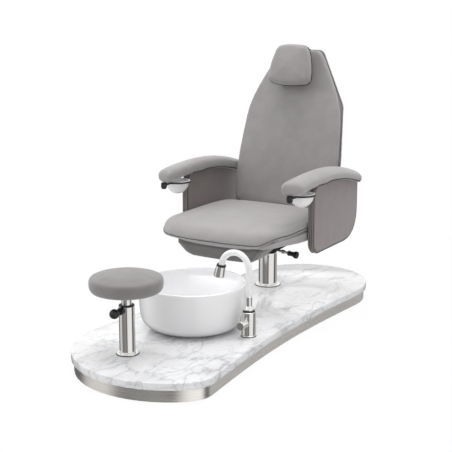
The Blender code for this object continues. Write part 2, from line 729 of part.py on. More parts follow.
def foot_pad_profile():
    """Round stool pad: crowned top, full rounded side that draws in to a flat underside."""
    flat = FOOT_PAD_FLAT_SHARE * FOOT_PAD_RADIUS
    points = [(flat * k / 4, FOOT_PAD_THICKNESS - FOOT_PAD_CROWN * (k / 4) ** 2) for k in range(5)]
    shoulder = FOOT_PAD_THICKNESS - FOOT_PAD_CROWN
    roll = FOOT_PAD_ROLL_SHARE * FOOT_PAD_RADIUS
    for k in range(1, 4):
        turn = math.pi / 2 * k / 3
        points.append((FOOT_PAD_RADIUS - roll * (1 - math.sin(turn)),
                       shoulder - FOOT_PAD_ROLL_RATIO * roll * (1 - math.cos(turn))))
    points.append((FOOT_PAD_RADIUS, FOOT_PAD_SIDE_SHARE * FOOT_PAD_THICKNESS))
    points += [(r * FOOT_PAD_RADIUS, z * FOOT_PAD_THICKNESS) for r, z in FOOT_PAD_TUCK_SHARES]
    return points + [(0.0, 0.0)]


def build_clamp_knob(centre):
    height = SLAB_TOP + KNOB_HEIGHT
    face = FOOT_SLEEVE_RADIUS + SEAT_GAP
    boss = tube_profile(KNOB_BOSS_RADIUS, KNOB_SCREW_RADIUS + RUNNING_GAP, face + KNOB_BOSS_LENGTH,
                        face - FOOT_SLEEVE_WALL)
    boss_solid = turned("clamp_boss", boss, ROUND_STEPS, closed=True)
    turn_to(boss_solid, (0, -1, 0), (*centre, height))
    sleeve_space = disc_profile(face, height + OVERRUN, height - OVERRUN)
    saddle = turned("boss_saddle", sleeve_space, FINE_STEPS, (*centre, 0.0))
    place(combine(boss_solid, saddle, "DIFFERENCE"), "black_plastic")

    tip = FOOT_POST_RADIUS + RUNNING_GAP + KNOB_TIP_GAP
    profile = [(KNOB_BALL_RADIUS * math.sin(a), KNOB_REACH + KNOB_BALL_RADIUS * math.cos(a))
               for a in (math.pi * k / 9 for k in range(9))]
    profile[0] = (0.0, KNOB_REACH + KNOB_BALL_RADIUS)
    neck = KNOB_REACH - KNOB_BALL_RADIUS * math.cos(math.pi / 9)
    collar = face + KNOB_BOSS_LENGTH + RUNNING_GAP + KNOB_NECK_GAP
    profile += [(KNOB_NECK_RADIUS, neck - CHAMFER), (KNOB_NECK_RADIUS, collar), (KNOB_SCREW_RADIUS, collar),
                (KNOB_SCREW_RADIUS, tip), (0.0, tip)]
    knob = turned("clamp_knob", profile, SMALL_STEPS)
    axis = joint_axis("clamp_axis", (*centre, height))
    knob.matrix_world = Matrix.Rotation(math.pi / 2, 4, "X")
    place(knob, "black_plastic", axis)


# Tap

def spout_heading():
    return (BASIN_CENTRE - TAP_CENTRE).normalized()


def build_tap():
    ring_top = SLAB_TOP + SEAT_GAP + TAP_RING_HEIGHT
    ring = [(0.0, TAP_RING_HEIGHT), (TAP_RING_RADIUS - CHAMFER, TAP_RING_HEIGHT),
            (TAP_RING_RADIUS, TAP_RING_HEIGHT - CHAMFER), (TAP_RING_RADIUS, 0.0), (TAP_TAIL_RADIUS, 0.0),
            (TAP_TAIL_RADIUS, -TAP_TAIL_LENGTH), (0.0, -TAP_TAIL_LENGTH)]
    place(turned("tap_base", ring, ROUND_STEPS, (*TAP_CENTRE, SLAB_TOP + SEAT_GAP)), "chrome")

    body_top = SLAB_TOP + TAP_BODY_TOP
    pivot_bore = TAP_PIVOT_RADIUS + RUNNING_GAP
    pivot_floor = body_top - TAP_PIVOT_DEPTH - RUNNING_GAP
    bottom = ring_top + SEAT_GAP
    body = [(pivot_bore, body_top), (TAP_BODY_RADIUS - CHAMFER, body_top),
            (TAP_BODY_RADIUS, body_top - CHAMFER), (TAP_BODY_RADIUS, bottom), (0.0, bottom),
            (0.0, pivot_floor), (pivot_bore, pivot_floor)]
    tap_body = turned("tap_body", body, ROUND_STEPS, (*TAP_CENTRE, 0.0), True)
    place(tap_body, "chrome")

    seal_bore = pivot_bore + RUNNING_GAP
    seal_z = body_top + SEAT_GAP
    seal = tube_profile(TAP_SEAL_RADIUS, seal_bore, seal_z + TAP_SEAL_HEIGHT, seal_z)
    place(turned("tap_seal", seal, ROUND_STEPS, (*TAP_CENTRE, 0.0), True), "black_plastic")
    build_spout(seal_z + TAP_SEAL_HEIGHT + RUNNING_GAP, body_top)
    build_tap_valve()


def build_spout(cone_z, body_top):
    axis = joint_axis("spout_axis", (*TAP_CENTRE, 0.0))
    neck_top = SLAB_TOP + TAP_NECK_TOP
    cone = [(0.0, neck_top), (TAP_NECK_RADIUS, neck_top), (TAP_NECK_RADIUS, cone_z + TAP_CONE_HEIGHT),
            (TAP_CONE_RADIUS - CHAMFER / 3, cone_z + 0.3 * TAP_CONE_HEIGHT), (TAP_CONE_RADIUS, cone_z),
            (TAP_PIVOT_RADIUS, cone_z), (TAP_PIVOT_RADIUS, body_top - TAP_PIVOT_DEPTH),
            (0.0, body_top - TAP_PIVOT_DEPTH)]
    place(turned("tap_swivel", cone, ROUND_STEPS), "chrome", axis)

    heading = spout_heading()
    route = [(heading[0] * reach, heading[1] * reach, height) for reach, height in spout_route(neck_top)]
    place(tube("tap_spout", route, SPOUT_RADIUS), "white_plastic", axis)

    end = Vector(route[-1])
    aim = (end - Vector(route[-2])).normalized()
    start = end + aim * SEAT_GAP
    collar = [(0.0, SPRAY_COLLAR_HEIGHT), (SPRAY_TOP_RADIUS + CHAMFER, SPRAY_COLLAR_HEIGHT),
              (SPRAY_TOP_RADIUS, 0.0), (0.0, 0.0)]
    place(turn_to(turned("spray_collar", collar, ROUND_STEPS), aim, start), "black_plastic", axis)
    start = start + aim * (SPRAY_COLLAR_HEIGHT + SEAT_GAP)
    face = SPRAY_LENGTH - SPRAY_COLLAR_HEIGHT
    rim = SPRAY_END_RADIUS - SPRAY_RIM
    recess = face - SPRAY_ROSE_DEPTH
    head = [(0.0, recess), (rim, recess), (rim, face), (SPRAY_END_RADIUS - CHAMFER, face),
            (SPRAY_END_RADIUS, face - CHAMFER), (SPRAY_TOP_RADIUS, 0.0), (0.0, 0.0)]
    place(turn_to(turned("spray_head", head, ROUND_STEPS), aim, start), "chrome", axis)
    rose = disc_profile(rim - SEAT_GAP, face - SPRAY_ROSE_RECESS, recess + SEAT_GAP)
    place(turn_to(turned("spray_rose", rose, ROUND_STEPS), aim, start), "black_plastic", axis)


def spout_route(neck_top):
    """Reach and height along the gooseneck: straight up, over in an arc, and down to the head."""
    start = neck_top + SEAT_GAP
    crown = SLAB_TOP + SPOUT_RISE
    radius = SPOUT_REACH * 0.5
    spring = crown - radius
    rise = [(0.0, mix(start, spring, k / 4)) for k in range(4)]
    fall = SLAB_TOP + SPOUT_END
    sweep = math.pi - math.asin(min(1.0, (fall - spring) / radius)) * 0.55
    over = [(radius - radius * math.cos(a), spring + radius * math.sin(a))
            for a in (sweep * k / 12 for k in range(13))]
    return rise + over


def build_tap_valve():
    """Side valve: a fixed bonnet on the body, and a cap with a pin that turns on it."""
    heading = spout_heading()
    side = Vector((-heading[1], heading[0], 0.0))
    height = SLAB_TOP + VALVE_HEIGHT
    root = Vector((*TAP_CENTRE, height))
    bonnet_end = VALVE_REACH - VALVE_CAP_LENGTH - RUNNING_GAP
    stem = VALVE_RADIUS * VALVE_STEM_SHARE
    stem_end = bonnet_end + VALVE_CAP_LENGTH / 2
    bonnet_radius = VALVE_RADIUS - CHAMFER
    bonnet = [(0.0, stem_end), (stem, stem_end), (stem, bonnet_end), (bonnet_radius, bonnet_end),
              (bonnet_radius, 0.0), (0.0, 0.0)]
    bonnet_solid = turned("tap_bonnet", bonnet, ROUND_STEPS)
    turn_to(bonnet_solid, side, root)
    body_space = disc_profile(TAP_BODY_RADIUS + SEAT_GAP, height + 2 * OVERRUN, height - 2 * OVERRUN)
    saddle = turned("bonnet_saddle", body_space, FINE_STEPS, (*TAP_CENTRE, 0.0))
    place(combine(bonnet_solid, saddle, "DIFFERENCE"), "chrome")

    axis = joint_axis("tap_lever_axis", root)
    cap_start = bonnet_end + RUNNING_GAP
    socket = stem + RUNNING_GAP
    socket_end = stem_end + RUNNING_GAP
    cap = [(0.0, VALVE_REACH), (VALVE_RADIUS - CHAMFER, VALVE_REACH), (VALVE_RADIUS, VALVE_REACH - CHAMFER),
           (VALVE_RADIUS, cap_start), (socket, cap_start), (socket, socket_end), (0.0, socket_end)]
    cap_solid = turned("tap_lever", cap, ROUND_STEPS)
    turn_to(cap_solid, side, (0, 0, 0))
    pin_at = side * (VALVE_REACH - 0.35 * VALVE_CAP_LENGTH)
    pin_base = VALVE_RADIUS * 0.7
    pin = tube("lever_pin", [pin_at + Vector((0, 0, pin_base)), pin_at + Vector((0, 0, LEVER_PIN_LENGTH))],
               LEVER_PIN_RADIUS)
    place(combine(cap_solid, pin, "UNION"), "chrome", axis)
    pin.parent = axis


# Chair column and lift

def build_column():
    plate_size = (COLUMN_PLATE_SIZE, COLUMN_PLATE_SIZE, COLUMN_PLATE_THICKNESS)
    base = box("column_base", plate_size, (0, 0, COLUMN_SEAT + SEAT_GAP + COLUMN_PLATE_THICKNESS / 2))
    place(round_edges(base, CHAMFER, 1), "plain_steel")

    bottom = COLUMN_SEAT + COLUMN_PLATE_THICKNESS + 2 * SEAT_GAP
    top = SLAB_TOP + COLUMN_TOP
    bore = COLUMN_RADIUS - COLUMN_WALL
    sleeve = turned("chair_column", tube_profile(COLUMN_RADIUS, bore, top, bottom), FINE_STEPS, closed=True)
    screw_z = top - SET_SCREW_DROP
    through = disc_profile(SET_SCREW_RADIUS + RUNNING_GAP, COLUMN_RADIUS + OVERRUN, bore - CHAMFER)
    hole = turned("set_screw_hole", through, SMALL_STEPS)
    turn_to(hole, SET_SCREW_FACING, (0, 0, screw_z))
    place(combine(sleeve, hole, "DIFFERENCE"), "chrome")
    screw_profile = disc_profile(SET_SCREW_RADIUS, COLUMN_RADIUS + SET_SCREW_PROUD, bore + SEAT_GAP)
    screw = turned("set_screw", screw_profile, SMALL_STEPS)
    place(turn_to(screw, SET_SCREW_FACING, (0, 0, screw_z)), "black_steel")

    flange = [(COLUMN_RADIUS + SEAT_GAP, COLUMN_FLANGE_THICKNESS),
              (COLUMN_FLANGE_RADIUS - CHAMFER, COLUMN_FLANGE_THICKNESS),
              (COLUMN_FLANGE_RADIUS, COLUMN_FLANGE_THICKNESS - CHAMFER), (COLUMN_FLANGE_RADIUS, 0.0),
              (COLUMN_RADIUS + SEAT_GAP, 0.0)]
    place(turned("column_flange", flange, FINE_STEPS, (0, 0, SLAB_TOP + SEAT_GAP), True), "chrome")

    ring_bore = PISTON_RADIUS + RUNNING_GAP
    bush_radius = bore - SEAT_GAP
    ring_z = top + SEAT_GAP
    ring_radius = COLUMN_RADIUS - CHAMFER
    ring = [(ring_bore, COLUMN_RING_HEIGHT), (ring_radius - COLUMN_RING_HEIGHT / 2, COLUMN_RING_HEIGHT),
            (ring_radius, COLUMN_RING_HEIGHT / 2), (ring_radius, 0.0), (bush_radius, 0.0),
            (bush_radius, -COLUMN_BUSH_DEPTH), (ring_bore, -COLUMN_BUSH_DEPTH)]
    ring_solid = turned("column_ring", ring, ROUND_STEPS, (0, 0, ring_z), True)
    place(ring_solid, "black_plastic")

    axis = joint_axis("lift_axis", (0, 0, 0))
    guide = bore - RUNNING_GAP
    guide_top = top - COLUMN_BUSH_DEPTH - PISTON_STROKE - OVERRUN / 4
    guide_bottom = guide_top - PISTON_GUIDE_LENGTH
    shoulder = piston_shoulder()
    piston = [(0.0, shoulder + SWIVEL_PIN_LENGTH), (SWIVEL_PIN_RADIUS, shoulder + SWIVEL_PIN_LENGTH),
              (SWIVEL_PIN_RADIUS, shoulder), (PISTON_RADIUS, shoulder), (PISTON_RADIUS, guide_top),
              (guide, guide_top), (guide, guide_bottom), (0.0, guide_bottom)]
    place(turned("lift_piston", piston), "plain_steel", axis)
    return axis


def piston_shoulder():
    return SLAB_TOP + COLUMN_TOP + SEAT_GAP + COLUMN_RING_HEIGHT + PISTON_SHOW


# Seat

def build_seat(lift_axis):
    axis = joint_axis("swivel_axis", (0, 0, 0), parent=lift_axis)
    build_spider(axis)
    base = soft_block("seat_base", seat_base_shape, (4, 6, 1))
    place(base, "leatherette", axis)
    apron = soft_block("front_apron", apron_shape, (4, 2, 1))
    place(apron, "leatherette", axis)
    cushion = soft_block("seat_cushion", seat_shape, (5, 6, 1))
    place(cushion, "leatherette", axis)
    build_height_lever(axis)
    return axis


def smooth_step(t):
    t = min(1.0, max(0.0, t))
    return t * t * (3 - 2 * t)


def seat_plan(u, v, rear, pull, gap):
    """Seat outline: bowed front, narrower ahead of the side panels than between them."""
    ahead = (1 - v) / 2
    y = mix(SEAT_FRONT + pull, rear, (v + 1) / 2)
    widened = smooth_step((y - SEAT_WIDENS_FROM) / (SEAT_WIDENS_TO - SEAT_WIDENS_FROM))
    half_width = mix(SEAT_FRONT_HALF_WIDTH - pull, PANEL_X - PANEL_THICKNESS / 2 - gap, widened)
    corner = SEAT_CORNER * (abs(u) * max(0.0, -v)) ** 6
    return u * (half_width - corner), y - SEAT_NOSE * (1 - abs(u) ** 3) * ahead ** 2 + corner


def seat_droop(y):
    return SEAT_FRONT_DROOP * max(0.0, (y - SEAT_WIDENS_TO) / (SEAT_FRONT - SEAT_WIDENS_TO)) ** 2


def seat_shape(u, v, w):
    x, y = seat_plan(u, v, SEAT_REAR, 0.0, SEAT_SIDE_GAP)
    bottom = SLAB_TOP + SEAT_BASE_TOP + SEAT_CUSHION_GAP - seat_droop(y) * (1 - 0.5 * u * u)
    crown = SEAT_CROWN * (1 - u ** 6) * (1 - v ** 6)
    top = bottom + SEAT_THICKNESS + crown
    return x, y, mix(bottom, top, (w + 1) / 2)


def seat_base_shape(u, v, w):
    pull = SEAT_BASE_TUCK * (1 - w) / 2
    x, y = seat_plan(u, v, SEAT_BASE_REAR, pull, SEAT_GAP)
    top = SLAB_TOP + SEAT_BASE_TOP - seat_droop(y) * (1 - 0.5 * u * u)
    return x, y, mix(SLAB_TOP + SEAT_BASE_BOTTOM, top, (w + 1) / 2)


def apron_shape(u, v, w):
    t = (w + 1) / 2
    x = u * mix(APRON_BOTTOM_HALF_WIDTH, APRON_TOP_HALF_WIDTH, t)
    front = APRON_FRONT + APRON_RAKE * (1 - t) - 0.3 * SEAT_NOSE * (1 - u * u)
    rear = APRON_REAR - APRON_REAR_RAKE * (1 - t)
    top = SLAB_TOP + SEAT_BASE_BOTTOM - SEAT_GAP
    return x, mix(front, rear, (v + 1) / 2), mix(top - APRON_DEPTH, top, t)


def build_spider(axis):
    """Cast hub on the swivel pin with four arms rising to feet under the seat base."""
    under = piston_shoulder() + RUNNING_GAP
    bore = SWIVEL_PIN_RADIUS + RUNNING_GAP
    bore_top = under + SWIVEL_PIN_LENGTH + RUNNING_GAP
    top = under + HUB_HEIGHT
    hub = [(0.0, top), (HUB_RADIUS - HUB_SHOULDER, top), (HUB_RADIUS, top - HUB_SHOULDER),
           (HUB_RADIUS, under),
           (bore, under), (bore, bore_top), (0.0, bore_top)]
    spider = turned("seat_spider", hub, FINE_STEPS)
    foot_top = SLAB_TOP + SEAT_BASE_BOTTOM - SEAT_GAP
    for k in range(4):
        arm = spider_arm("spider_arm_%d" % k, under + SPIDER_ARM_START, foot_top)
        arm.data.transform(Matrix.Rotation(math.pi / 2 * k, 4, "Z"))
        combine(spider, arm, "UNION")
    slot_top = under + LEVER_HEIGHT + LEVER_ROD_RADIUS + LEVER_PLAY
    slot_start = LEVER_PIVOT - LEVER_ROD_RADIUS * math.sin(LEVER_DROP) - SEAT_GAP
    slot = box("lever_slot", (LEVER_SLOT_END - slot_start, 2 * (LEVER_ROD_RADIUS + SEAT_GAP), OVERRUN),
               ((LEVER_SLOT_END + slot_start) / 2, 0.0, slot_top - OVERRUN / 2))
    combine(spider, slot, "DIFFERENCE")
    place(spider, "black_steel", axis)


def spider_arm(name, start, foot_top):
    """Side profile of one arm, extruded to its width."""
    inner = SWIVEL_PIN_RADIUS + 4 * RUNNING_GAP
    foot = SPIDER_REACH - SPIDER_FOOT_LENGTH
    foot_under = foot_top - SPIDER_FOOT_THICKNESS
    profile = [(inner, start), (HUB_RADIUS + SPIDER_ARM_LEVEL, start), (foot + SPIDER_HAUNCH, foot_under),
               (SPIDER_REACH, foot_under), (SPIDER_REACH, foot_top), (foot, foot_top),
               (HUB_RADIUS, start + SPIDER_ROOT_DEPTH), (inner, start + SPIDER_ROOT_DEPTH)]
    arm = plate(name, [profile], -SPIDER_ARM_WIDTH / 2, SPIDER_ARM_WIDTH / 2)
    arm.data.transform(Matrix.Rotation(math.pi / 2, 4, "X"))
    return arm


def build_height_lever(axis):
    """Release lever: a rod from the hub's slot, with a lock nut and a bell-ended grip."""
    height = piston_shoulder() + RUNNING_GAP + LEVER_HEIGHT
    aim = Vector((math.cos(LEVER_DROP), 0.0, -math.sin(LEVER_DROP)))
    lever_axis = joint_axis("height_lever_axis", (LEVER_PIVOT, 0.0, height), parent=axis)
    rod_end = LEVER_LENGTH - GRIP_LENGTH
    rod = turned("lever_rod", disc_profile(LEVER_ROD_RADIUS, rod_end, 0.0), SMALL_STEPS)
    place(turn_to(rod, aim, (0, 0, 0)), "chrome", lever_axis)
    nut_bore = LEVER_ROD_RADIUS / math.cos(math.pi / 6) + SEAT_GAP
    nut = turned("lever_nut", tube_profile(LEVER_NUT_RADIUS, nut_bore, LEVER_NUT_LENGTH, 0.0), 6, closed=True)
    place(turn_to(nut, aim, aim * LEVER_NUT_START), "chrome", lever_axis)
    root = rod_end + SEAT_GAP
    grip = [(0.0, LEVER_LENGTH), (GRIP_END_RADIUS - CHAMFER, LEVER_LENGTH),
            (GRIP_END_RADIUS, LEVER_LENGTH - GRIP_EDGE), (GRIP_END_RADIUS, LEVER_LENGTH - GRIP_BELL),
            (GRIP_SMALL_RADIUS, LEVER_LENGTH - GRIP_FLARE), (GRIP_SMALL_RADIUS, rod_end + GRIP_BEAD_END),
            (GRIP_SMALL_RADIUS + GRIP_BEAD, rod_end + GRIP_BEAD_PLACE), (GRIP_SMALL_RADIUS, root),
            (0.0, root)]
    place(turn_to(turned("lever_grip", grip, ROUND_STEPS), aim, (0, 0, 0)), "black_plastic", lever_axis)


# Arms

def pad_top(y):
    """Top of the arm pad: a crest that droops to both ends."""
    if y > PAD_CREST_Y:
        droop = PAD_DROOP_REAR * ((y - PAD_CREST_Y) / (PAD_REAR - PAD_CREST_Y)) ** 2
    else:
        droop = PAD_DROOP_FRONT * ((PAD_CREST_Y - y) / (PAD_CREST_Y - PAD_FRONT)) ** 2
    return SLAB_TOP + PAD_TOP - droop


def pad_underside(y):
    """Underside of the pad, which deepens ahead of the side panel."""
    ahead = smooth_step((PAD_STEP_REAR - y) / (PAD_STEP_REAR - PAD_STEP_FRONT))
    return pad_top(y) - mix(PAD_REAR_DEPTH, PAD_FRONT_DEPTH, ahead)


def pad_section(v):
    """Place, half width, underside and top of the pad's cage at v, from -1 in front to 1 behind."""
    y = mix(PAD_FRONT, PAD_REAR, (v + 1) / 2)
    end = v ** 8
    top, under = pad_top(y), pad_underside(y)
    taper = PAD_TAPER * end * (top - under) / 2
    return y, PAD_WIDTH / 2 * (1 - PAD_NARROWING * end), under + taper, top - taper


def pad_bottom_line():
    """Underside of the pad as (y, z) points from front to rear, as one subdivision leaves it."""
    cage = []
    for k in range(PAD_ROWS + 1):
        y, _, under, _ = pad_section(2 * k / PAD_ROWS - 1)
        cage.append(Vector((y, under)))
    line = []
    for before, here, after in zip(cage, cage[1:], cage[2:]):
        line += [(before + here) / 2, (before + 6 * here + after) / 8]
    return line + [(cage[-2] + cage[-1]) / 2]


def pad_bottom(y):
    line = pad_bottom_line()
    for low, high in zip(line, line[1:]):
        if low.x <= y <= high.x:
            return mix(low.y, high.y, (y - low.x) / (high.x - low.x))
    raise ValueError("outside the arm pad")


def build_arm(side, label, seat_axis):
    def pad_shape(u, v, w):
        y, half, under, top = pad_section(v)
        outward = (1 + side * u) / 2
        crown = PAD_CROWN * (1 - u * u) - PAD_OUTER_FALL * outward ** 2
        skew = PAD_NOSE_SKEW * outward * max(0.0, -v) ** 8
        return side * PAD_X + u * half, y + skew, mix(under, top, (w + 1) / 2) + crown * max(0.0, w)

    place(soft_block("arm_pad_" + label, pad_shape, (2, PAD_ROWS - 1, 1)), "leatherette", seat_axis)
    panel = side_panel("side_panel_" + label)
    panel.location.x = side * PANEL_X
    place(panel, "leatherette", seat_axis)
    build_tray(side, label, seat_axis)


def side_panel(name):
    """D-shaped upholstered board under the pad, its top following the pad's underside."""
    bottom = SLAB_TOP + PANEL_BOTTOM
    front = PANEL_FRONT + PANEL_TOP_RADIUS
    top_line = [(PANEL_REAR, pad_bottom(PANEL_REAR) - PAD_SEAT_GAP, 0.0)]
    for point in reversed(pad_bottom_line()):
        if front < point.x < PANEL_REAR:
            top_line.append((point.x, point.y - PAD_SEAT_GAP, 0.0))
    top_line.append((front, pad_bottom(front) - PAD_SEAT_GAP, 0.0))
    fall = pad_bottom(front + PANEL_TOP_RADIUS / 4) - pad_bottom(front)
    corners = [(PANEL_FRONT, pad_bottom(front) - 4 * fall - PAD_SEAT_GAP, PANEL_TOP_RADIUS),
               (PANEL_FRONT, bottom, PANEL_FRONT_RADIUS), (PANEL_REAR, bottom, PANEL_REAR_RADIUS)]
    panel = plate(name, [rounded(corners + top_line, 6)], -PANEL_THICKNESS / 2, PANEL_THICKNESS / 2)
    panel.data.transform(SIDEWAYS)
    return smooth(round_edges(panel, PANEL_EDGE, 2))


def build_tray(side, label, seat_axis):
    """Pivot post under the pad, and a holder with its bowl that swings out on the post."""
    x = side * TRAY_PIVOT_X
    top = pad_bottom(TRAY_PIVOT_Y) - PAD_SEAT_GAP
    head_top = top - TRAY_POST_LENGTH + TRAY_HEAD_HEIGHT
    cap = top - TRAY_CAP_HEIGHT
    end = top - TRAY_POST_LENGTH
    post = [(0.0, top), (TRAY_HEAD_RADIUS, top), (TRAY_HEAD_RADIUS, cap), (TRAY_PIVOT_RADIUS, cap),
            (TRAY_PIVOT_RADIUS, head_top), (TRAY_HEAD_RADIUS, head_top), (TRAY_HEAD_RADIUS - CHAMFER, end),
            (0.0, end)]
    pivot = turned("tray_pivot_" + label, post, SMALL_STEPS, (x, TRAY_PIVOT_Y, 0.0))
    place(pivot, "black_plastic", seat_axis)

    axis = joint_axis("tray_axis_" + label, (x, TRAY_PIVOT_Y, 0.0), parent=seat_axis)
    eye_top = cap - RUNNING_GAP
    eye_bottom = head_top + RUNNING_GAP
    eye_bore = TRAY_PIVOT_RADIUS + RUNNING_GAP
    eye = tube_profile(TRAY_EYE_RADIUS, eye_bore, eye_top, eye_bottom)
    holder = turned("bowl_holder_" + label, eye, ROUND_STEPS, closed=True)
    ring_top = eye_top - TRAY_RING_DROP
    ring_bottom = ring_top - TRAY_PLATE
    ring_bore = BOWL_RADIUS + RUNNING_GAP
    arm_start = (eye_bore + TRAY_EYE_RADIUS) / 2
    arm_end = TRAY_REACH - ring_bore - TRAY_RING_WIDTH / 2
    arm = box("holder_arm_" + label, (TRAY_ARM_WIDTH, arm_end - arm_start, TRAY_PLATE),
              (0.0, (arm_start + arm_end) / 2, (ring_top + ring_bottom) / 2))
    ring = turned("holder_ring_" + label,
                  tube_profile(ring_bore + TRAY_RING_WIDTH, ring_bore, ring_top, ring_bottom), ROUND_STEPS,
                  (0.0, TRAY_REACH, 0.0), True)
    for tool in (arm, ring):
        combine(holder, tool, "UNION")
        tool.parent = axis
    place(holder, "black_plastic", axis)

    lip_bottom = ring_top + SEAT_GAP
    bowl = turned("manicure_bowl_" + label, bowl_profile(lip_bottom), ROUND_STEPS, (0.0, TRAY_REACH, 0.0),
                  True)
    place(smooth(bowl, 60), "white_plastic", axis)


def bowl_profile(lip_bottom):
    lip_radius = BOWL_RADIUS + RUNNING_GAP + 0.6 * TRAY_RING_WIDTH
    outer = [(lip_radius, lip_bottom + BOWL_LIP), (lip_radius, lip_bottom), (BOWL_RADIUS, lip_bottom)]
    for k in range(1, 6):
        turn = math.pi / 2 * k / 5
        outer.append((BOWL_RADIUS * math.cos(turn), lip_bottom - BOWL_DEPTH * math.sin(turn)))
    outer[-1] = (0.0, lip_bottom - BOWL_DEPTH)
    inside = BOWL_RADIUS - BOWL_WALL
    hollow = BOWL_DEPTH - BOWL_WALL
    inner = [(inside * math.cos(a), lip_bottom - hollow * math.sin(a))
             for a in (math.pi / 2 * k / 5 for k in range(5, 0, -1))]
    inner[0] = (0.0, lip_bottom - BOWL_DEPTH + BOWL_WALL)
    return outer + inner + [(inside, lip_bottom + BOWL_LIP)]


# Backrest

def back_outline(shrink):
    """Coffin outline from (x, z) corners above the hinge, drawn in by shrink."""
    low, top = BACK_BOTTOM + shrink, BACK_HEIGHT - shrink
    right = [(BACK_HALF_WIDTH - shrink, low, BACK_CORNER_RADIUS),
             (BACK_WIDEST - shrink, BACK_WIDEST_HEIGHT, BACK_SIDE_RADIUS),
             (SHOULDER_HALF_WIDTH - shrink, SHOULDER_HEIGHT, SHOULDER_RADIUS),
             (BACK_TOP_HALF_WIDTH - shrink, top, BACK_CORNER_RADIUS)]
    left = [(-x, z, r) for x, z, r in reversed(right)]
    return rounded(right + left, 5)


def back_half_width(z):
    marks = [(BACK_BOTTOM, BACK_HALF_WIDTH), (BACK_WIDEST_HEIGHT, BACK_WIDEST),
             (SHOULDER_HEIGHT, SHOULDER_HALF_WIDTH), (BACK_HEIGHT, BACK_TOP_HALF_WIDTH)]
    for (z0, x0), (z1, x1) in zip(marks, marks[1:]):
        if z <= z1:
            return mix(x0, x1, (z - z0) / (z1 - z0))
    return BACK_TOP_HALF_WIDTH


def back_shape(u, v, w):
    """Front cushion of the back: crowned, with its edges on the shell. v runs up, w to the rear."""
    z = mix(BACK_BOTTOM + BACK_CUSHION_ENDS, BACK_HEIGHT - BACK_CUSHION_ENDS, (v + 1) / 2)
    shell_face = back_rear() - BACK_SHELL_THICKNESS - SEAT_GAP
    crown = BACK_CROWN * (1 - u ** 4) * (1 - v ** 6)
    front = shell_face - BACK_CUSHION_THICKNESS - crown
    return u * (back_half_width(z) - BACK_CUSHION_INSET), mix(shell_face, front, (1 - w) / 2), z


def back_rear():
    """Rear face of the shell, in front of the hinge axis."""
    return -LUG_RADIUS - SEAT_GAP


def build_back(seat_axis):
    hinge_y = BACK_FRONT_Y + HINGE_SETBACK
    hinge_z = SLAB_TOP + SEAT_BASE_TOP + HINGE_RISE
    axis = joint_axis("recline_axis", (0, hinge_y, hinge_z), -BACK_LEAN, seat_axis)
    upright = Matrix.Rotation(math.pi / 2, 4, "X")

    shell = plate("back_shell", [back_outline(0.0)], 0.0, BACK_SHELL_THICKNESS)
    shell.data.transform(upright @ Matrix.Translation((0, 0, -back_rear())))
    place(smooth(round_edges(shell, BACK_SHELL_EDGE)), "leatherette", axis)
    cushion = soft_block("back_cushion", back_shape, (5, 7, 1))
    place(cushion, "leatherette", axis)
    for side, label in ((1, "left"), (-1, "right")):
        build_recline_hinge(side, label, axis, seat_axis, Vector((0, hinge_y, hinge_z)))
    return axis


def lug_outline(length):
    """Plate with a round eye at the origin and a straight tail of the given length along +Y."""
    eye = arc((0, 0), LUG_RADIUS, math.pi, 2 * math.pi, 9)
    return eye + [(LUG_RADIUS, length), (-LUG_RADIUS, length)]


def lug_hole(name):
    reach = 4 * LUG_THICKNESS
    return turned(name, disc_profile(HINGE_PIN_RADIUS + RUNNING_GAP, reach, -reach), SMALL_STEPS)


def build_recline_hinge(side, label, axis, seat_axis, hinge):
    back_lug = plate("back_lug_" + label, [lug_outline(LUG_LENGTH)], -LUG_THICKNESS / 2, LUG_THICKNESS / 2)
    combine(back_lug, lug_hole("back_lug_hole_" + label), "DIFFERENCE")
    back_lug = baked(back_lug)
    back_lug.data.transform(SIDEWAYS)
    back_lug.location = (side * LUG_X, 0, 0)
    place(back_lug, "black_steel", axis)

    foot = HINGE_RISE - SEAT_GAP
    seat_lug = plate("seat_lug_" + label, [lug_outline(foot)], -LUG_THICKNESS / 2, LUG_THICKNESS / 2)
    combine(seat_lug, lug_hole("seat_lug_hole_" + label), "DIFFERENCE")
    seat_lug = baked(seat_lug)
    seat_lug.data.transform(Matrix.Rotation(math.pi, 4, "Z"))
    seat_lug.data.transform(SIDEWAYS)
    seat_lug.location = hinge + Vector((side * (LUG_X + LUG_THICKNESS + SEAT_GAP), 0, 0))
    place(seat_lug, "black_steel", seat_axis)

    start = -LUG_THICKNESS / 2 - SEAT_GAP
    end = 1.5 * LUG_THICKNESS + 2 * SEAT_GAP
    tail = start - HINGE_PIN_HEAD
    top = end + HINGE_PIN_HEAD
    pin = [(0.0, top), (HINGE_HEAD_RADIUS, top), (HINGE_HEAD_RADIUS, end), (HINGE_PIN_RADIUS, end),
           (HINGE_PIN_RADIUS, start), (HINGE_HEAD_RADIUS, start), (HINGE_HEAD_RADIUS, tail), (0.0, tail)]
    hinge_pin = turned("hinge_pin_" + label, pin, SMALL_STEPS)
    turn_to(hinge_pin, (side, 0, 0), hinge + Vector((side * LUG_X, 0, 0)))
    place(hinge_pin, "plain_steel", seat_axis)


# Headrest

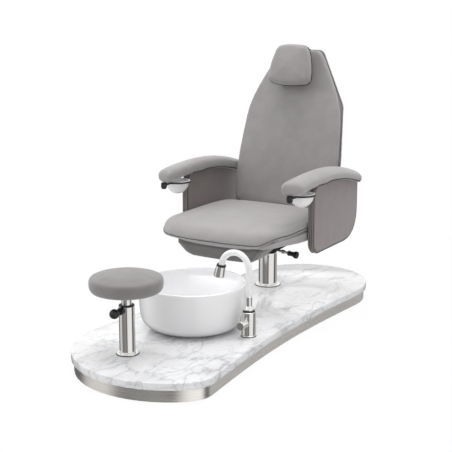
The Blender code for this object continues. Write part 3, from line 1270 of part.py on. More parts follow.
def build_headrest(back_axis):
    axis = joint_axis("headrest_axis", (0, 0, 0), parent=back_axis)
    rear = back_rear()
    cushion_front = rear - BACK_SHELL_THICKNESS - SEAT_GAP - BACK_CUSHION_THICKNESS - BACK_CROWN
    board_rear = cushion_front - PILLOW_STANDOFF
    board_front = board_rear - HEADREST_BOARD_THICKNESS
    pillow_bottom = PILLOW_TOP - PILLOW_HEIGHT

    def pillow_shape(u, v, w):
        u, v = (u * math.sqrt(1 - PILLOW_ROUNDING * v * v), v * math.sqrt(1 - PILLOW_ROUNDING * u * u))
        z = mix(pillow_bottom, PILLOW_TOP, (v + 1) / 2)
        half = mix(PILLOW_BOTTOM_HALF_WIDTH, PILLOW_TOP_HALF_WIDTH, (v + 1) / 2)
        crown = PILLOW_CROWN * (1 - u * u) * (1 - v * v)
        face = board_front - SEAT_GAP
        return u * half, mix(face, face - PILLOW_THICKNESS - crown, (1 - w) / 2), z

    place(soft_block("headrest_pillow", pillow_shape, (3, 4, 1)), "leatherette", axis)

    low = pillow_bottom + HEADREST_BOARD_INSET
    high = PILLOW_TOP - HEADREST_BOARD_INSET
    half_low = PILLOW_BOTTOM_HALF_WIDTH - HEADREST_BOARD_INSET
    half_high = PILLOW_TOP_HALF_WIDTH - HEADREST_BOARD_INSET
    corners = [(x, z, HEADREST_BOARD_CORNER) for x, z in
               ((half_low, low), (half_high, high), (-half_high, high), (-half_low, low))]
    board = plate("headrest_board", [rounded(corners, 4)], -board_rear, -board_front)
    board.data.transform(Matrix.Rotation(math.pi / 2, 4, "X"))
    place(board, "board", axis)
    build_strap(axis, back_axis, board_rear, rear)


def build_strap(axis, back_axis, board_rear, shell_rear):
    """Flat hook from the headrest board over the back's top and down its rear, in a guide."""
    t = STRAP_THICKNESS
    front = board_rear + SEAT_GAP
    back = shell_rear + GUIDE_WALL
    over = BACK_HEIGHT + SEAT_GAP
    hook = over - STRAP_FRONT_DROP
    tail = over - STRAP_TAIL
    profile = [(front, hook), (front + t, hook), (front + t, over), (back, over), (back, tail),
               (back + t, tail), (back + t, over + t), (front, over + t)]
    strap = plate("headrest_strap", [profile], -STRAP_WIDTH / 2, STRAP_WIDTH / 2)
    strap.data.transform(SIDEWAYS)
    place(strap, "black_steel", axis)

    inner = STRAP_WIDTH / 2 + RUNNING_GAP
    outer = inner + GUIDE_WALL
    y0 = shell_rear + SEAT_GAP
    y1 = back - RUNNING_GAP
    y2 = back + t + RUNNING_GAP
    y3 = y2 + GUIDE_WALL
    section = [(-outer, y0), (outer, y0), (outer, y3), (-outer, y3)]
    slot = [(-inner, y1), (-inner, y2), (inner, y2), (inner, y1)]
    top = BACK_HEIGHT - GUIDE_DROP
    guide = plate("headrest_guide", [section, slot], top - GUIDE_HEIGHT, top)
    place(guide, "black_plastic", back_axis)


clear_scene()
PARTS = new_collection(OBJECT_NAME)
CUTTERS = new_collection(OBJECT_NAME + "_cutters")
build_platform()
build_basin()
build_footrest()
build_tap()
LIFT_AXIS = build_column()
SEAT_AXIS = build_seat(LIFT_AXIS)
for SIDE, LABEL in ((1, "left"), (-1, "right")):
    build_arm(SIDE, LABEL, SEAT_AXIS)
BACK_AXIS = build_back(SEAT_AXIS)
build_headrest(BACK_AXIS)
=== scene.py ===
"""Podiatry chair, dressed: finishes, upholstery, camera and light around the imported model.

Metres, in the model's own frame: +Z up, the chair faces -Y, the origin is under the chair column.
"""

import json
import math

import bmesh
import bpy
import numpy as np
from mathutils import Matrix, Vector

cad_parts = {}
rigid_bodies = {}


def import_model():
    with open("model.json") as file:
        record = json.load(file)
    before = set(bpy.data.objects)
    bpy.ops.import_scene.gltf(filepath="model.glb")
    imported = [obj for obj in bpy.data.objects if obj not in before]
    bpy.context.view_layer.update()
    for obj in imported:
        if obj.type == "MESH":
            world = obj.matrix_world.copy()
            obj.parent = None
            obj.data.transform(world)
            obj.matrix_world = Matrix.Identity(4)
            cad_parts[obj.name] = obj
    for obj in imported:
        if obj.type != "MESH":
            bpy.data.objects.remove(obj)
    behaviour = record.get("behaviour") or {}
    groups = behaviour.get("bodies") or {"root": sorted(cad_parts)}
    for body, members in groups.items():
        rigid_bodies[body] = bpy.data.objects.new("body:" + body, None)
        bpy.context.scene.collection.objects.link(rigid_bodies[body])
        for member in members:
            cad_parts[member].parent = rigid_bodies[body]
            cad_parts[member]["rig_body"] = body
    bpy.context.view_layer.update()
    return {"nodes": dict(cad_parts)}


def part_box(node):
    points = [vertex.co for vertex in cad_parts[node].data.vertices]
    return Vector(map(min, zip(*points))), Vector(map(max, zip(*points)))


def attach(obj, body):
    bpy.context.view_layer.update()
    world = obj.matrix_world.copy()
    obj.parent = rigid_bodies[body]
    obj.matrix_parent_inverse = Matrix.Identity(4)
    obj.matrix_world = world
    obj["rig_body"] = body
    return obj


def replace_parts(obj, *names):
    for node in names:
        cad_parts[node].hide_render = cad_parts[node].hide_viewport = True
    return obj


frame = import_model()
NODES = frame["nodes"]

UP = Vector((0, 0, 1))
DOWN = Vector((0, 0, -1))
WELD = 1e-5
# Half plane on which a turned piece's profile is read, in radians from its X
PROFILE_TURN = 0.3

# Camera, from the photo's viewing angle
CAMERA_AZIMUTH = math.radians(30.47)
CAMERA_ELEVATION = math.radians(12.74)
CAMERA_PLACE = Vector((2.174, -4.057, 1.373))
CAMERA_LENS = 86.32

# Black beads on the slab where round pieces meet it: painted contact shadow
SHADOW_BEAD_RADIUS = 0.0014
SHADOW_BEAD_INSET = 0.060
SHADOW_BEAD_POINTS = 96

# Upholstery
LEATHER = (0.340, 0.322, 0.323)
# Side panels and welts: a warm tint, made darker than the leatherette as painted shade
LEATHER_WARM_SHADED = (0.230, 0.202, 0.196)
# Footrest pad: the same leatherette made darker, as painted shade
LEATHER_SHADED = (0.222, 0.208, 0.206)
# Front apron: the same leatherette much darker, as painted shade under the seat
LEATHER_PAINTED_SHADE = (0.150, 0.139, 0.136)
GRAIN_SCALE = 620.0
PIPING_RADIUS = 0.0030
WELT_RADIUS = 0.0028
SEAM_RADIUS = 0.0011
PILLOW_SEAM_RADIUS = 0.0014
PAD_SEAM_RADIUS = 0.0016
LINE_SPACING = 0.005
VOXEL = 0.005
VOXEL_LARGE = 0.006
VOXEL_PAD = 0.0045

# Cloth simulation: a cover is drawn in by the room it then swells back into
SIM_FRAMES = 20
SIM_EVENING = 12
SIM_PRESSURE = 4.0
SIM_ROOM = 0.001
SIM_HELD_ROOM = 0.0003
HELD_FACING = 0.75
SWELLING = 0.0035

# Padded boards; a crown is along the board's axis, so a front face's crown is negative
BOARD_RINGS = 9
BOARD_EDGE_STEPS = 6
BOARD_SPACING = 0.006
SHELL_ROUND = 0.008
SHELL_CROWN = 0.004
SHELL_SEAM_INSET = 0.0012
BACK_ROUND = 0.009
BACK_CROWN = -0.017
BACK_INSET = -0.004
PILLOW_ROUND = 0.024
PILLOW_CROWN = -0.006
PILLOW_REAR_CROWN = 0.004
# The pillow's seam line is thicker and set out, as painted shadow round the pillow's edge
PILLOW_SEAM_INSET = -0.0012
PILLOW_SEAM_SHARE = 0.68
PANEL_ROUND = 0.010
PANEL_CROWN = 0.002
PANEL_WELT = 0.008
WELT_FOLD = 0.0038
PANEL_LET_OUT = 0.006
LET_OUT_FROM = 0.12
LET_OUT_RUN = 0.08
# Lines round each face of a side panel: (name, depth from the face, inset, radius, finish)
PANEL_LINES = (("welt", PANEL_WELT, 0.0004, WELT_RADIUS, "leatherette_warm_shaded"),
               # The seam and fold lines either side of each welt are dark lines painted as the shade in its
               # creases
               ("seam", PANEL_WELT - WELT_FOLD, 0.0016, SEAM_RADIUS, "thread_and_seam_shade"),
               ("fold", PANEL_WELT + WELT_FOLD, 0.0, SEAM_RADIUS, "thread_and_seam_shade"))

# Seat cushion: its piped edge is low across the front and rises round the corners to the sides
SEAM_SIDE = 0.392
SEAM_FALL = 0.034
SEAM_FALL_RUN = 0.12
SEAM_LOW_RIGHT = 0.24
SEAM_LOW_LEFT = 0.19
SEAM_CORNER_RUN = 0.09
SEAM_LEAN = -0.8
SEAT_EDGE_SMOOTHING = 90
SEAT_EDGE_TOP = 0.4067
SEAT_CROWN = 0.024
SEAT_DROOP = 0.026
SEAT_DROOP_FROM = -0.19
SEAT_TOP_DROOP_SHARE = 0.25
SEAT_FRONT = -0.44
SEAT_NOSE = -0.475
SEAT_REAR = 0.098
SEAT_LET_OUT = 0.002
SEAT_ROLL = 0.026
SEAT_FRONT_ROLL = 0.056
# Front corners of the cushion, let out; the right one more
CORNER_X = 0.20
CORNER_Y = -0.30
CORNER_RUN = 0.06
CORNER_ASIDE = 0.007
CORNER_AHEAD = 0.005
CORNER_RIGHT_SHARE = 1.4
# Piping ends just behind the panels' front edge; the stitches run above it
PIPING_PAST_PANEL = 0.004
# The stitch line above the piping is near black: stitching, and painted shade in the groove over the piping
STITCH_OUT = 0.0008
STITCH_RISE = 0.0014

# Seat base and apron: raised to just under the seam, the base only ahead of the back
BASE_BOTTOM = 0.330
BASE_TOP = 0.374
BASE_GAP = 0.003
BASE_RAISED_TO = 0.085
BASE_RAISED_RUN = 0.035
APRON_FLARE = 0.04
APRON_AHEAD = 0.012
APRON_RISE = 0.016
APRON_FRONT = -0.35

# Arm pads: a crest that droops to both ends, deeper in front, with flanks that hang over the side panel
PAD_X = 0.297
PAD_HALF_WIDTH = 0.043
PAD_FRONT = -0.398
PAD_REAR = 0.247
PAD_CREST_Y = -0.120
PAD_CREST = 0.623
PAD_CROWN = 0.006
PAD_DROOP_FRONT = 0.016
PAD_DROOP_REAR = 0.060
PAD_FRONT_DEPTH = 0.055
PAD_REAR_DEPTH = 0.038
PAD_DEEPER_FROM = -0.07
PAD_DEEPER_RUN = 0.135
PAD_HANG = 0.015
PAD_HANG_RUN = 0.09
PAD_OUTER_FALL = 0.012
PAD_NOSE_SKEW = 0.040
PAD_SKEW_RUN = 0.17
PAD_SQUARENESS = 0.68
PAD_POINTS = 64
PAD_STATIONS = 42
PAD_END = 0.036
PAD_END_POWER = 2.4
PAD_END_SHARES = (0.001, 0.006, 0.02, 0.05, 0.1, 0.18, 0.3, 0.45, 0.65, 1.0)
# Dark lines low on the pad's flanks: stitching, and painted shadow along the pad's lower edge
PAD_SEAM_REACH = PAD_HALF_WIDTH * 0.86 + 0.001
PAD_SEAM_DROP = 0.36
# Middle of the side panel below the pad, and half the width kept clear for it
PANEL_X = 0.3015
PANEL_CLEAR = 0.0175

# Light
WORLD_LEVEL = 0.69
FLOOR_GLOW = 0.92
FLOOR_TONE = 0.82
FLOOR_RADIUS = 60.0
GLOW_CENTRE = (0.1, -0.4, 0.0)
GLOW_FROM = 1.0
GLOW_TO = 2.0
# Lamps: name, place, aim, size, power, spread in degrees
LAMPS = (("key", (-2.2, -2.6, 3.0), (0, -0.3, 0.5), (2.4, 1.6), 22.0, 180),
         ("overhead", (0.0, 0.05, 3.6), (0.0, -0.3, 0.0), (4.5, 4.5), 33.0, 70),
         ("under_seat", (0.02, -0.06, 0.218), (0.02, -0.06, 0.0), (0.60, 0.95), 0.8, 180))
# What polished metal sees round the studio: (turn from the camera's side in degrees, brightness)
STUDIO = ((-180, 0.22), (-130, 0.08), (-112, 0.66), (-78, 0.72), (-64, 0.20), (-10, 0.30), (2, 0.07),
          (14, 0.92), (72, 0.98), (88, 0.08), (104, 0.12), (114, 0.50), (150, 0.42), (180, 0.22))

# The back leans by this much, so its rear faces this way
BACK_LEAN = math.radians(15)
BACK_NORMAL = (0.0, math.cos(BACK_LEAN), -math.sin(BACK_LEAN))


# Shader building

class Shader:
    """A material's node tree, with short calls for the nodes that the finishes use."""

    def __init__(self, name):
        self.material = bpy.data.materials.new(name)
        self.material.use_nodes = True
        self.tree = self.material.node_tree
        self.surface = self.tree.nodes["Principled BSDF"]
        self.place = self.node("ShaderNodeTexCoord").outputs["Object"]

    def set(self, socket, value):
        if isinstance(value, bpy.types.NodeSocket):
            self.tree.links.new(value, socket)
        else:
            socket.default_value = value

    def node(self, kind, inputs=None, **settings):
        made = self.tree.nodes.new(kind)
        for key, value in settings.items():
            setattr(made, key, value)
        for key, value in (inputs or {}).items():
            self.set(made.inputs[key], value)
        return made

    def finish(self, **inputs):
        for key, value in inputs.items():
            self.set(self.surface.inputs[key.replace("_", " ").title().replace("Ior", "IOR")], value)
        return self.material

    def mapped(self, scale=(1, 1, 1), turn=(0, 0, 0)):
        inputs = {"Vector": self.place, "Scale": scale, "Rotation": turn}
        return self.node("ShaderNodeMapping", inputs).outputs[0]

    def noise(self, scale, detail=3.0, vector=None, distortion=0.0, output=0):
        inputs = {"Vector": vector or self.place, "Scale": scale, "Detail": detail, "Distortion": distortion}
        return self.node("ShaderNodeTexNoise", inputs).outputs[output]

    def cells(self, scale, feature="F1", vector=None):
        inputs = {"Vector": vector or self.place, "Scale": scale}
        return self.node("ShaderNodeTexVoronoi", inputs, feature=feature).outputs["Distance"]

    def span(self, value, low, high, to_low=0.0, to_high=1.0):
        inputs = {"Value": value, "From Min": low, "From Max": high, "To Min": to_low, "To Max": to_high}
        return self.node("ShaderNodeMapRange", inputs).outputs[0]

    def math(self, operation, a, b=0.0):
        return self.node("ShaderNodeMath", {0: a, 1: b}, operation=operation).outputs[0]

    def blend(self, factor, a, b):
        made = self.node("ShaderNodeMix", data_type="RGBA")
        for index, value in ((0, factor), (6, a), (7, b)):
            self.set(made.inputs[index], value)
        return made.outputs[2]

    def warped(self, vector, scale, amount):
        drift = self.noise(scale, 4.0, vector, output=1)
        inputs = {0: drift, 1: (0.5,) * 3}
        about_zero = self.node("ShaderNodeVectorMath", inputs, operation="SUBTRACT").outputs[0]
        inputs = {0: about_zero, 1: (amount,) * 3, 2: vector}
        return self.node("ShaderNodeVectorMath", inputs, operation="MULTIPLY_ADD").outputs[0]

    def bump(self, height, distance, strength=1.0, normal=None):
        inputs = {"Height": height, "Distance": distance, "Strength": strength}
        if normal is not None:
            inputs["Normal"] = normal
        return self.node("ShaderNodeBump", inputs).outputs[0]

    def edges(self, low=0.51, high=0.58):
        """1 on worn outer edges, 0 elsewhere."""
        return self.span(self.node("ShaderNodeNewGeometry").outputs["Pointiness"], low, high)


def shade(colour, factor):
    return (*[min(1.0, c * factor) for c in colour], 1.0)


# Finishes

def leatherette(name, colour):
    """Soft matt leatherette: cloudy tone, pebbled grain with dark pores, paler where edges rub."""
    s = Shader(name)
    clouds = s.span(s.noise(15.0, 6.0), 0.35, 0.65)
    tone = s.blend(clouds, shade(colour, 0.95), shade(colour, 1.05))
    pebble = s.cells(GRAIN_SCALE, "SMOOTH_F1", s.warped(s.place, 90.0, 0.004))
    pores = s.span(pebble, 0.25, 0.75, 0.0, 0.22)
    tone = s.blend(pores, tone, shade(colour, 0.55))
    worn = s.math("MULTIPLY", s.edges(), s.span(s.noise(30.0), 0.35, 0.7, 0.0, 0.30))
    tone = s.blend(worn, tone, shade(colour, 1.45))
    creases = s.noise(140.0, 5.0, distortion=0.6)
    normal = s.bump(pebble, 0.00025, 0.35)
    normal = s.bump(creases, 0.0004, 0.25, normal)
    rough = s.span(s.noise(26.0, 4.0), 0.3, 0.7, 0.46, 0.58)
    return s.finish(base_color=tone, roughness=rough, normal=normal, specular_ior_level=0.3, sheen_weight=0.4,
                    sheen_roughness=0.5)


def thread_and_seam_shade(name, colour):
    """Near-black twisted stitching, dark enough to paint the shade in the seam grooves it lies in."""
    s = Shader(name)
    strands = s.noise(1800.0, 1.0)
    tone = s.blend(strands, shade(colour, 0.75), shade(colour, 1.25))
    return s.finish(base_color=tone, roughness=s.span(strands, 0.3, 0.7, 0.5, 0.75),
                    normal=s.bump(strands, 0.0002, 0.5))


def marble(name):
    """Polished white marble: cloudy, with thin grey veins on the slant that branch and fade."""
    s = Shader(name)
    run = s.mapped((1.0, 0.45, 1.0), (0.0, 0.0, math.radians(-32)))
    cross = s.mapped((0.6, 1.0, 1.0), (0.0, 0.0, math.radians(14)))

    def off_middle(vector, scale, detail):
        field = s.noise(scale, detail, vector, 0.35)
        return s.math("ABSOLUTE", s.math("SUBTRACT", field, 0.5))

    def veins(off, width, where):
        return s.math("MULTIPLY", s.span(off, 0.0, width, 1.0, 0.0), where)

    main = off_middle(s.warped(run, 9.0, 0.05), 8.0, 5.0)
    side = off_middle(s.warped(cross, 7.0, 0.06), 10.0, 5.0)
    small = off_middle(s.warped(run, 20.0, 0.03), 19.0, 4.0)
    here = s.span(s.noise(5.0, 3.0), 0.28, 0.50, 0.15, 1.0)
    there = s.span(s.noise(6.0, 3.0, cross), 0.34, 0.56, 0.1, 1.0)
    haze = s.span(s.noise(8.0, 6.0, run), 0.42, 0.75, 0.0, 0.45)
    tone = s.blend(haze, (0.79, 0.79, 0.80, 1.0), (0.68, 0.685, 0.70, 1.0))
    soft = s.math("MULTIPLY", veins(main, 0.08, here), 0.28)
    tone = s.blend(soft, tone, (0.46, 0.47, 0.495, 1.0))
    tone = s.blend(s.math("MULTIPLY", veins(small, 0.022, there), 0.26), tone, (0.36, 0.37, 0.39, 1.0))
    tone = s.blend(s.math("MULTIPLY", veins(side, 0.018, there), 0.40), tone, (0.33, 0.34, 0.36, 1.0))
    tone = s.blend(s.math("MULTIPLY", veins(main, 0.019, here), 0.50), tone, (0.30, 0.31, 0.33, 1.0))
    rough = s.span(s.noise(18.0, 4.0), 0.3, 0.7, 0.05, 0.10)
    polish = s.bump(s.noise(11.0, 2.0), 0.0003, 0.10)
    return s.finish(base_color=tone, roughness=rough, normal=polish, coat_weight=0.3, coat_roughness=0.04)


def brushed_steel(name, colour):
    """Sheet steel with fine level brush lines and faint handling marks."""
    s = Shader(name)
    lines = s.noise(3.0, 3.0, s.mapped((1.6, 1.6, 420.0)))
    streaks = s.noise(2.0, 2.0, s.mapped((0.9, 0.9, 60.0)))
    tone = s.blend(s.span(lines, 0.3, 0.7), shade(colour, 0.86), shade(colour, 1.12))
    rough = s.math("ADD", s.span(lines, 0.3, 0.7, 0.20, 0.30), s.span(streaks, 0.4, 0.7, 0.0, 0.05))
    return s.finish(base_color=tone, metallic=1.0, roughness=rough, normal=s.bump(lines, 0.0002, 0.18))


def polished(name, colour, low=0.05, high=0.11):
    """Chrome with faint wipe marks and a trace of dullness along worn edges."""
    s = Shader(name)
    wipes = s.noise(22.0, 4.0, s.mapped((1.0, 1.0, 0.25)), 0.5)
    tone = s.blend(s.span(wipes, 0.35, 0.75), shade(colour, 1.0), shade(colour, 0.93))
    rough = s.math("ADD", s.span(wipes, 0.35, 0.75, low, high), s.math("MULTIPLY", s.edges(), 0.05))
    return s.finish(base_color=tone, metallic=1.0, roughness=rough, normal=s.bump(wipes, 0.0002, 0.06))


def glazed(name, colour, low, high):
    """White glaze or gloss moulding: faint tone drift and a slightly uneven gloss."""
    s = Shader(name)
    tone = s.blend(s.span(s.noise(6.0, 4.0), 0.3, 0.7), shade(colour, 0.965), shade(colour, 1.0))
    specks = s.span(s.cells(160.0), 0.0, 0.06, 0.10, 0.0)
    tone = s.blend(specks, tone, shade(colour, 0.7))
    rough = s.span(s.noise(30.0, 3.0), 0.3, 0.7, low, high)
    return s.finish(base_color=tone, roughness=rough, normal=s.bump(s.noise(14.0, 2.0), 0.0006, 0.12),
                    coat_weight=0.3, coat_roughness=0.04)


def moulded(name, colour, metallic=0.0):
    """Black moulding or powder coat: fine pebble, rubbed paler on its edges."""
    s = Shader(name)
    pebble = s.noise(900.0, 2.0)
    tone = s.blend(s.span(s.noise(20.0), 0.3, 0.7), shade(colour, 0.8), shade(colour, 1.25))
    tone = s.blend(s.math("MULTIPLY", s.edges(), 0.25), tone, shade(colour, 5.0))
    rough = s.span(s.noise(45.0, 3.0), 0.3, 0.7, 0.34, 0.5)
    return s.finish(base_color=tone, metallic=metallic, roughness=rough, normal=s.bump(pebble, 0.00015, 0.4))


def plywood(name):
    """Hidden boards: banded birch grain."""
    s = Shader(name)
    bands = s.noise(14.0, 5.0, s.mapped((1.0, 9.0, 9.0)), 0.8)
    tone = s.blend(bands, (0.36, 0.25, 0.14, 1.0), (0.62, 0.48, 0.31, 1.0))
    rough = s.span(bands, 0.3, 0.7, 0.6, 0.8)
    return s.finish(base_color=tone, roughness=rough, normal=s.bump(bands, 0.0004, 0.4))


FINISH = {
    "leatherette": leatherette("leatherette", LEATHER),
    "leatherette_warm_shaded": leatherette("leatherette_warm_shaded", LEATHER_WARM_SHADED),
    "leatherette_shaded": leatherette("leatherette_shaded", LEATHER_SHADED),
    "leatherette_painted_shade": leatherette("leatherette_painted_shade", LEATHER_PAINTED_SHADE),
    # Near-black lines: stitching, and painted shade in the seam grooves
    "thread_and_seam_shade": thread_and_seam_shade("thread_and_seam_shade", (0.030, 0.028, 0.028)),
    "marble": marble("marble"),
    "brushed_steel": brushed_steel("brushed_steel", (0.93, 0.885, 0.86)),
    "chrome": polished("chrome", (0.83, 0.82, 0.81)),
    "steel": brushed_steel("steel", (0.55, 0.55, 0.56)),
    "ceramic": glazed("ceramic", (0.92, 0.92, 0.93), 0.07, 0.13),
    "white_plastic": glazed("white_plastic", (0.89, 0.89, 0.89), 0.22, 0.32),
    "black_plastic": moulded("black_plastic", (0.012, 0.012, 0.012)),
    "black_steel": moulded("black_steel", (0.016, 0.016, 0.017), 0.2),
    "board": plywood("board"),
}


# Pieces

def linked(name, data):
    """New object in the scene."""
    obj = bpy.data.objects.new(name, data)
    bpy.context.scene.collection.objects.link(obj)
    return obj


def add_piece(name, mesh, body, finish):
    """Put a new mesh in the scene, on a body, in a finish."""
    obj = linked(name, mesh)
    mesh.materials.clear()
    mesh.materials.append(FINISH[finish])
    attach(obj, body)
    return obj


def body_of(node):
    return NODES[node]["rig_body"]


def welded(node):
    """A node's facets with shared corners."""
    solid = bmesh.new()
    solid.from_mesh(NODES[node].data)
    bmesh.ops.remove_doubles(solid, verts=solid.verts, dist=WELD)
    return solid


def to_mesh(solid, name, sharp=None):
    mesh = bpy.data.meshes.new(name)
    solid.normal_update()
    solid.to_mesh(mesh)
    solid.free()
    mesh.shade_smooth()
    if sharp is not None:
        mesh.set_sharp_from_angle(angle=math.radians(sharp))
    return mesh


def evaluated(obj):
    """The object's mesh with its modifiers applied, and the modifiers gone."""
    depsgraph = bpy.context.evaluated_depsgraph_get()
    mesh = bpy.data.meshes.new_from_object(obj.evaluated_get(depsgraph), depsgraph=depsgraph)
    old = obj.data
    obj.modifiers.clear()
    obj.data = mesh
    bpy.data.meshes.remove(old)
    return obj


def chains(edges):
    """Edges joined into runs of points; a closed run repeats its first point."""
    links = {}
    for edge in edges:
        for here, there in (edge.verts, reversed(edge.verts)):
            links.setdefault(here, []).append(there)
    runs = []
    unused = set(links)
    for start in sorted(links, key=lambda v: (len(links[v]) != 1, v.index)):
        if start not in unused:
            continue
        run, here = [start], start
        unused.discard(start)
        while True:
            onward = [v for v in links[here] if v in unused]
            if not onward:
                break
            here = onward[0]
            unused.discard(here)
            run.append(here)
        if len(run) > 2 and start in links[here]:
            run.append(start)
        runs.append([v.co.copy() for v in run])
    return runs


def cut_runs(solid, point, normal):
    solid.verts.index_update()
    geometry = solid.verts[:] + solid.edges[:] + solid.faces[:]
    cut = bmesh.ops.bisect_plane(solid, geom=geometry, plane_co=point, plane_no=normal, dist=1e-7)
    solid.verts.index_update()
    return chains([e for e in cut["geom_cut"] if isinstance(e, bmesh.types.BMEdge)])


def straightened(points, closed, tolerance=2e-5):
    """Drop points that lie on the line between their neighbours."""
    kept = []
    count = len(points)
    for k, here in enumerate(points):
        if not closed and k in (0, count - 1):
            kept.append(here)
            continue
        before, after = points[k - 1], points[(k + 1) % count]
        along = after - before
        off = (here - before) - along * ((here - before).dot(along) / max(along.length_squared, 1e-18))
        if off.length > tolerance:
            kept.append(here)
    return kept


def eased(points, closed, limit, steps=4):
    """Corners of a profile rounded by a short curve, at most limit along each side."""
    count = len(points)
    made = []
    for k, here in enumerate(points):
        if not closed and k in (0, count - 1):
            made.append(here)
            continue
        before, after = points[k - 1], points[(k + 1) % count]
        reach_in = min(limit, 0.45 * (before - here).length)
        reach_out = min(limit, 0.45 * (after - here).length)
        start = here + (before - here).normalized() * reach_in
        end = here + (after - here).normalized() * reach_out
        for step in range(steps + 1):
            t = step / steps
            made.append(start * (1 - t) ** 2 + here * 2 * t * (1 - t) + end * t * t)
    return made


def round_piece(node, finish, limit, axis=UP, steps=96):
    """Turned node rebuilt fine: its profile is read from the solid on one half plane and turned again."""
    to_world = Matrix.Translation(middle(node)) @ Vector(axis).to_track_quat("Z", "Y").to_matrix().to_4x4()
    to_world = to_world @ Matrix.Rotation(PROFILE_TURN, 4, "Z")
    solid = welded(node)
    solid.transform(to_world.inverted())
    widest = max(v.co.xy.length for v in solid.verts)
    runs = []
    for run in cut_runs(solid, (0, 0, 0), (0, 1, 0)):
        run = [p for p in run if p.x > -1e-6]
        if len(run) > 1:
            runs.append(run)
    solid.free()
    profile = max(runs, key=lambda r: sum((a - b).length for a, b in zip(r, r[1:])))
    closed = (profile[0] - profile[-1]).length < 1e-7 and profile[0].x > 1e-4
    if closed:
        profile = profile[:-1]
    grow = widest / max(p.x for p in profile)
    profile = [Vector((p.x * grow, 0.0, p.z)) for p in profile]
    profile = eased(straightened(profile, closed), closed, limit)
    turned = bmesh.new()
    verts = [turned.verts.new(p) for p in profile]
    pairs = list(zip(verts, verts[1:])) + ([(verts[-1], verts[0])] if closed else [])
    edges = [turned.edges.new(pair) for pair in pairs]
    bmesh.ops.spin(turned, geom=verts + edges, axis=(0, 0, 1), cent=(0, 0, 0), angle=2 * math.pi, steps=steps,
                   use_merge=True, use_duplicate=False)
    bmesh.ops.remove_doubles(turned, verts=turned.verts, dist=WELD)
    bmesh.ops.recalc_face_normals(turned, faces=turned.faces)
    turned.transform(to_world)
    obj = add_piece(node + "_turned", to_mesh(turned, node + "_turned", 40), body_of(node), finish)
    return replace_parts(obj, node)


def edged_piece(node, finish, bevel=0.0008, sharp=35, segments=3):
    """Flat or cut node with shared corners, smooth curves and small rounded edges."""
    solid = welded(node)
    bmesh.ops.dissolve_limit(solid, angle_limit=math.radians(0.5), verts=solid.verts, edges=solid.edges)
    obj = add_piece(node + "_edged", to_mesh(solid, node + "_edged", sharp), body_of(node), finish)
    soften = obj.modifiers.new("edges", "BEVEL")
    soften.width = bevel
    soften.segments = segments
    soften.limit_method = "ANGLE"
    soften.angle_limit = math.radians(sharp)
    soften.harden_normals = True
    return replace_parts(obj, node)


def tube_piece(node, finish, grow):
    """Bent tube made rounder by subdivision, with grow added for what subdivision takes off."""
    solid = welded(node)
    bmesh.ops.join_triangles(solid, faces=solid.faces, angle_face_threshold=math.radians(50),
                             angle_shape_threshold=math.pi)
    crease = solid.edges.layers.float.new("crease_edge")
    for edge in solid.edges:
        if edge.calc_face_angle(0.0) > math.radians(60):
            edge[crease] = 1.0
    obj = add_piece(node + "_smooth", to_mesh(solid, node + "_smooth", 60), body_of(node), finish)
    divide = obj.modifiers.new("finer", "SUBSURF")
    divide.levels = divide.render_levels = 2
    thicken = obj.modifiers.new("swell", "DISPLACE")
    thicken.strength = grow
    thicken.mid_level = 0.0
    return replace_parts(obj, node)


def seal(node, shrink):
    """Thin black bead where a round piece meets the slab, as painted contact shadow."""
    lo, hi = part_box(node)
    angles = np.arange(SHADOW_BEAD_POINTS) * 2 * math.pi / SHADOW_BEAD_POINTS
    reach = (hi.x - lo.x) / 2 - shrink
    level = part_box("marble_top")[1].z + SHADOW_BEAD_RADIUS
    x = (lo.x + hi.x) / 2 + reach * np.cos(angles)
    y = (lo.y + hi.y) / 2 + reach * np.sin(angles)
    line = raised(np.column_stack((x, y)), level)
    piping(node + "_seal", line, True, SHADOW_BEAD_RADIUS, body_of(node), "black_plastic")


def middle(node):
    lo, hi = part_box(node)
    return (lo + hi) / 2


def paint(node, finish):
    """Finish for a node that stays as it is."""
    NODES[node].data.materials.clear()
    NODES[node].data.materials.append(FINISH[finish])


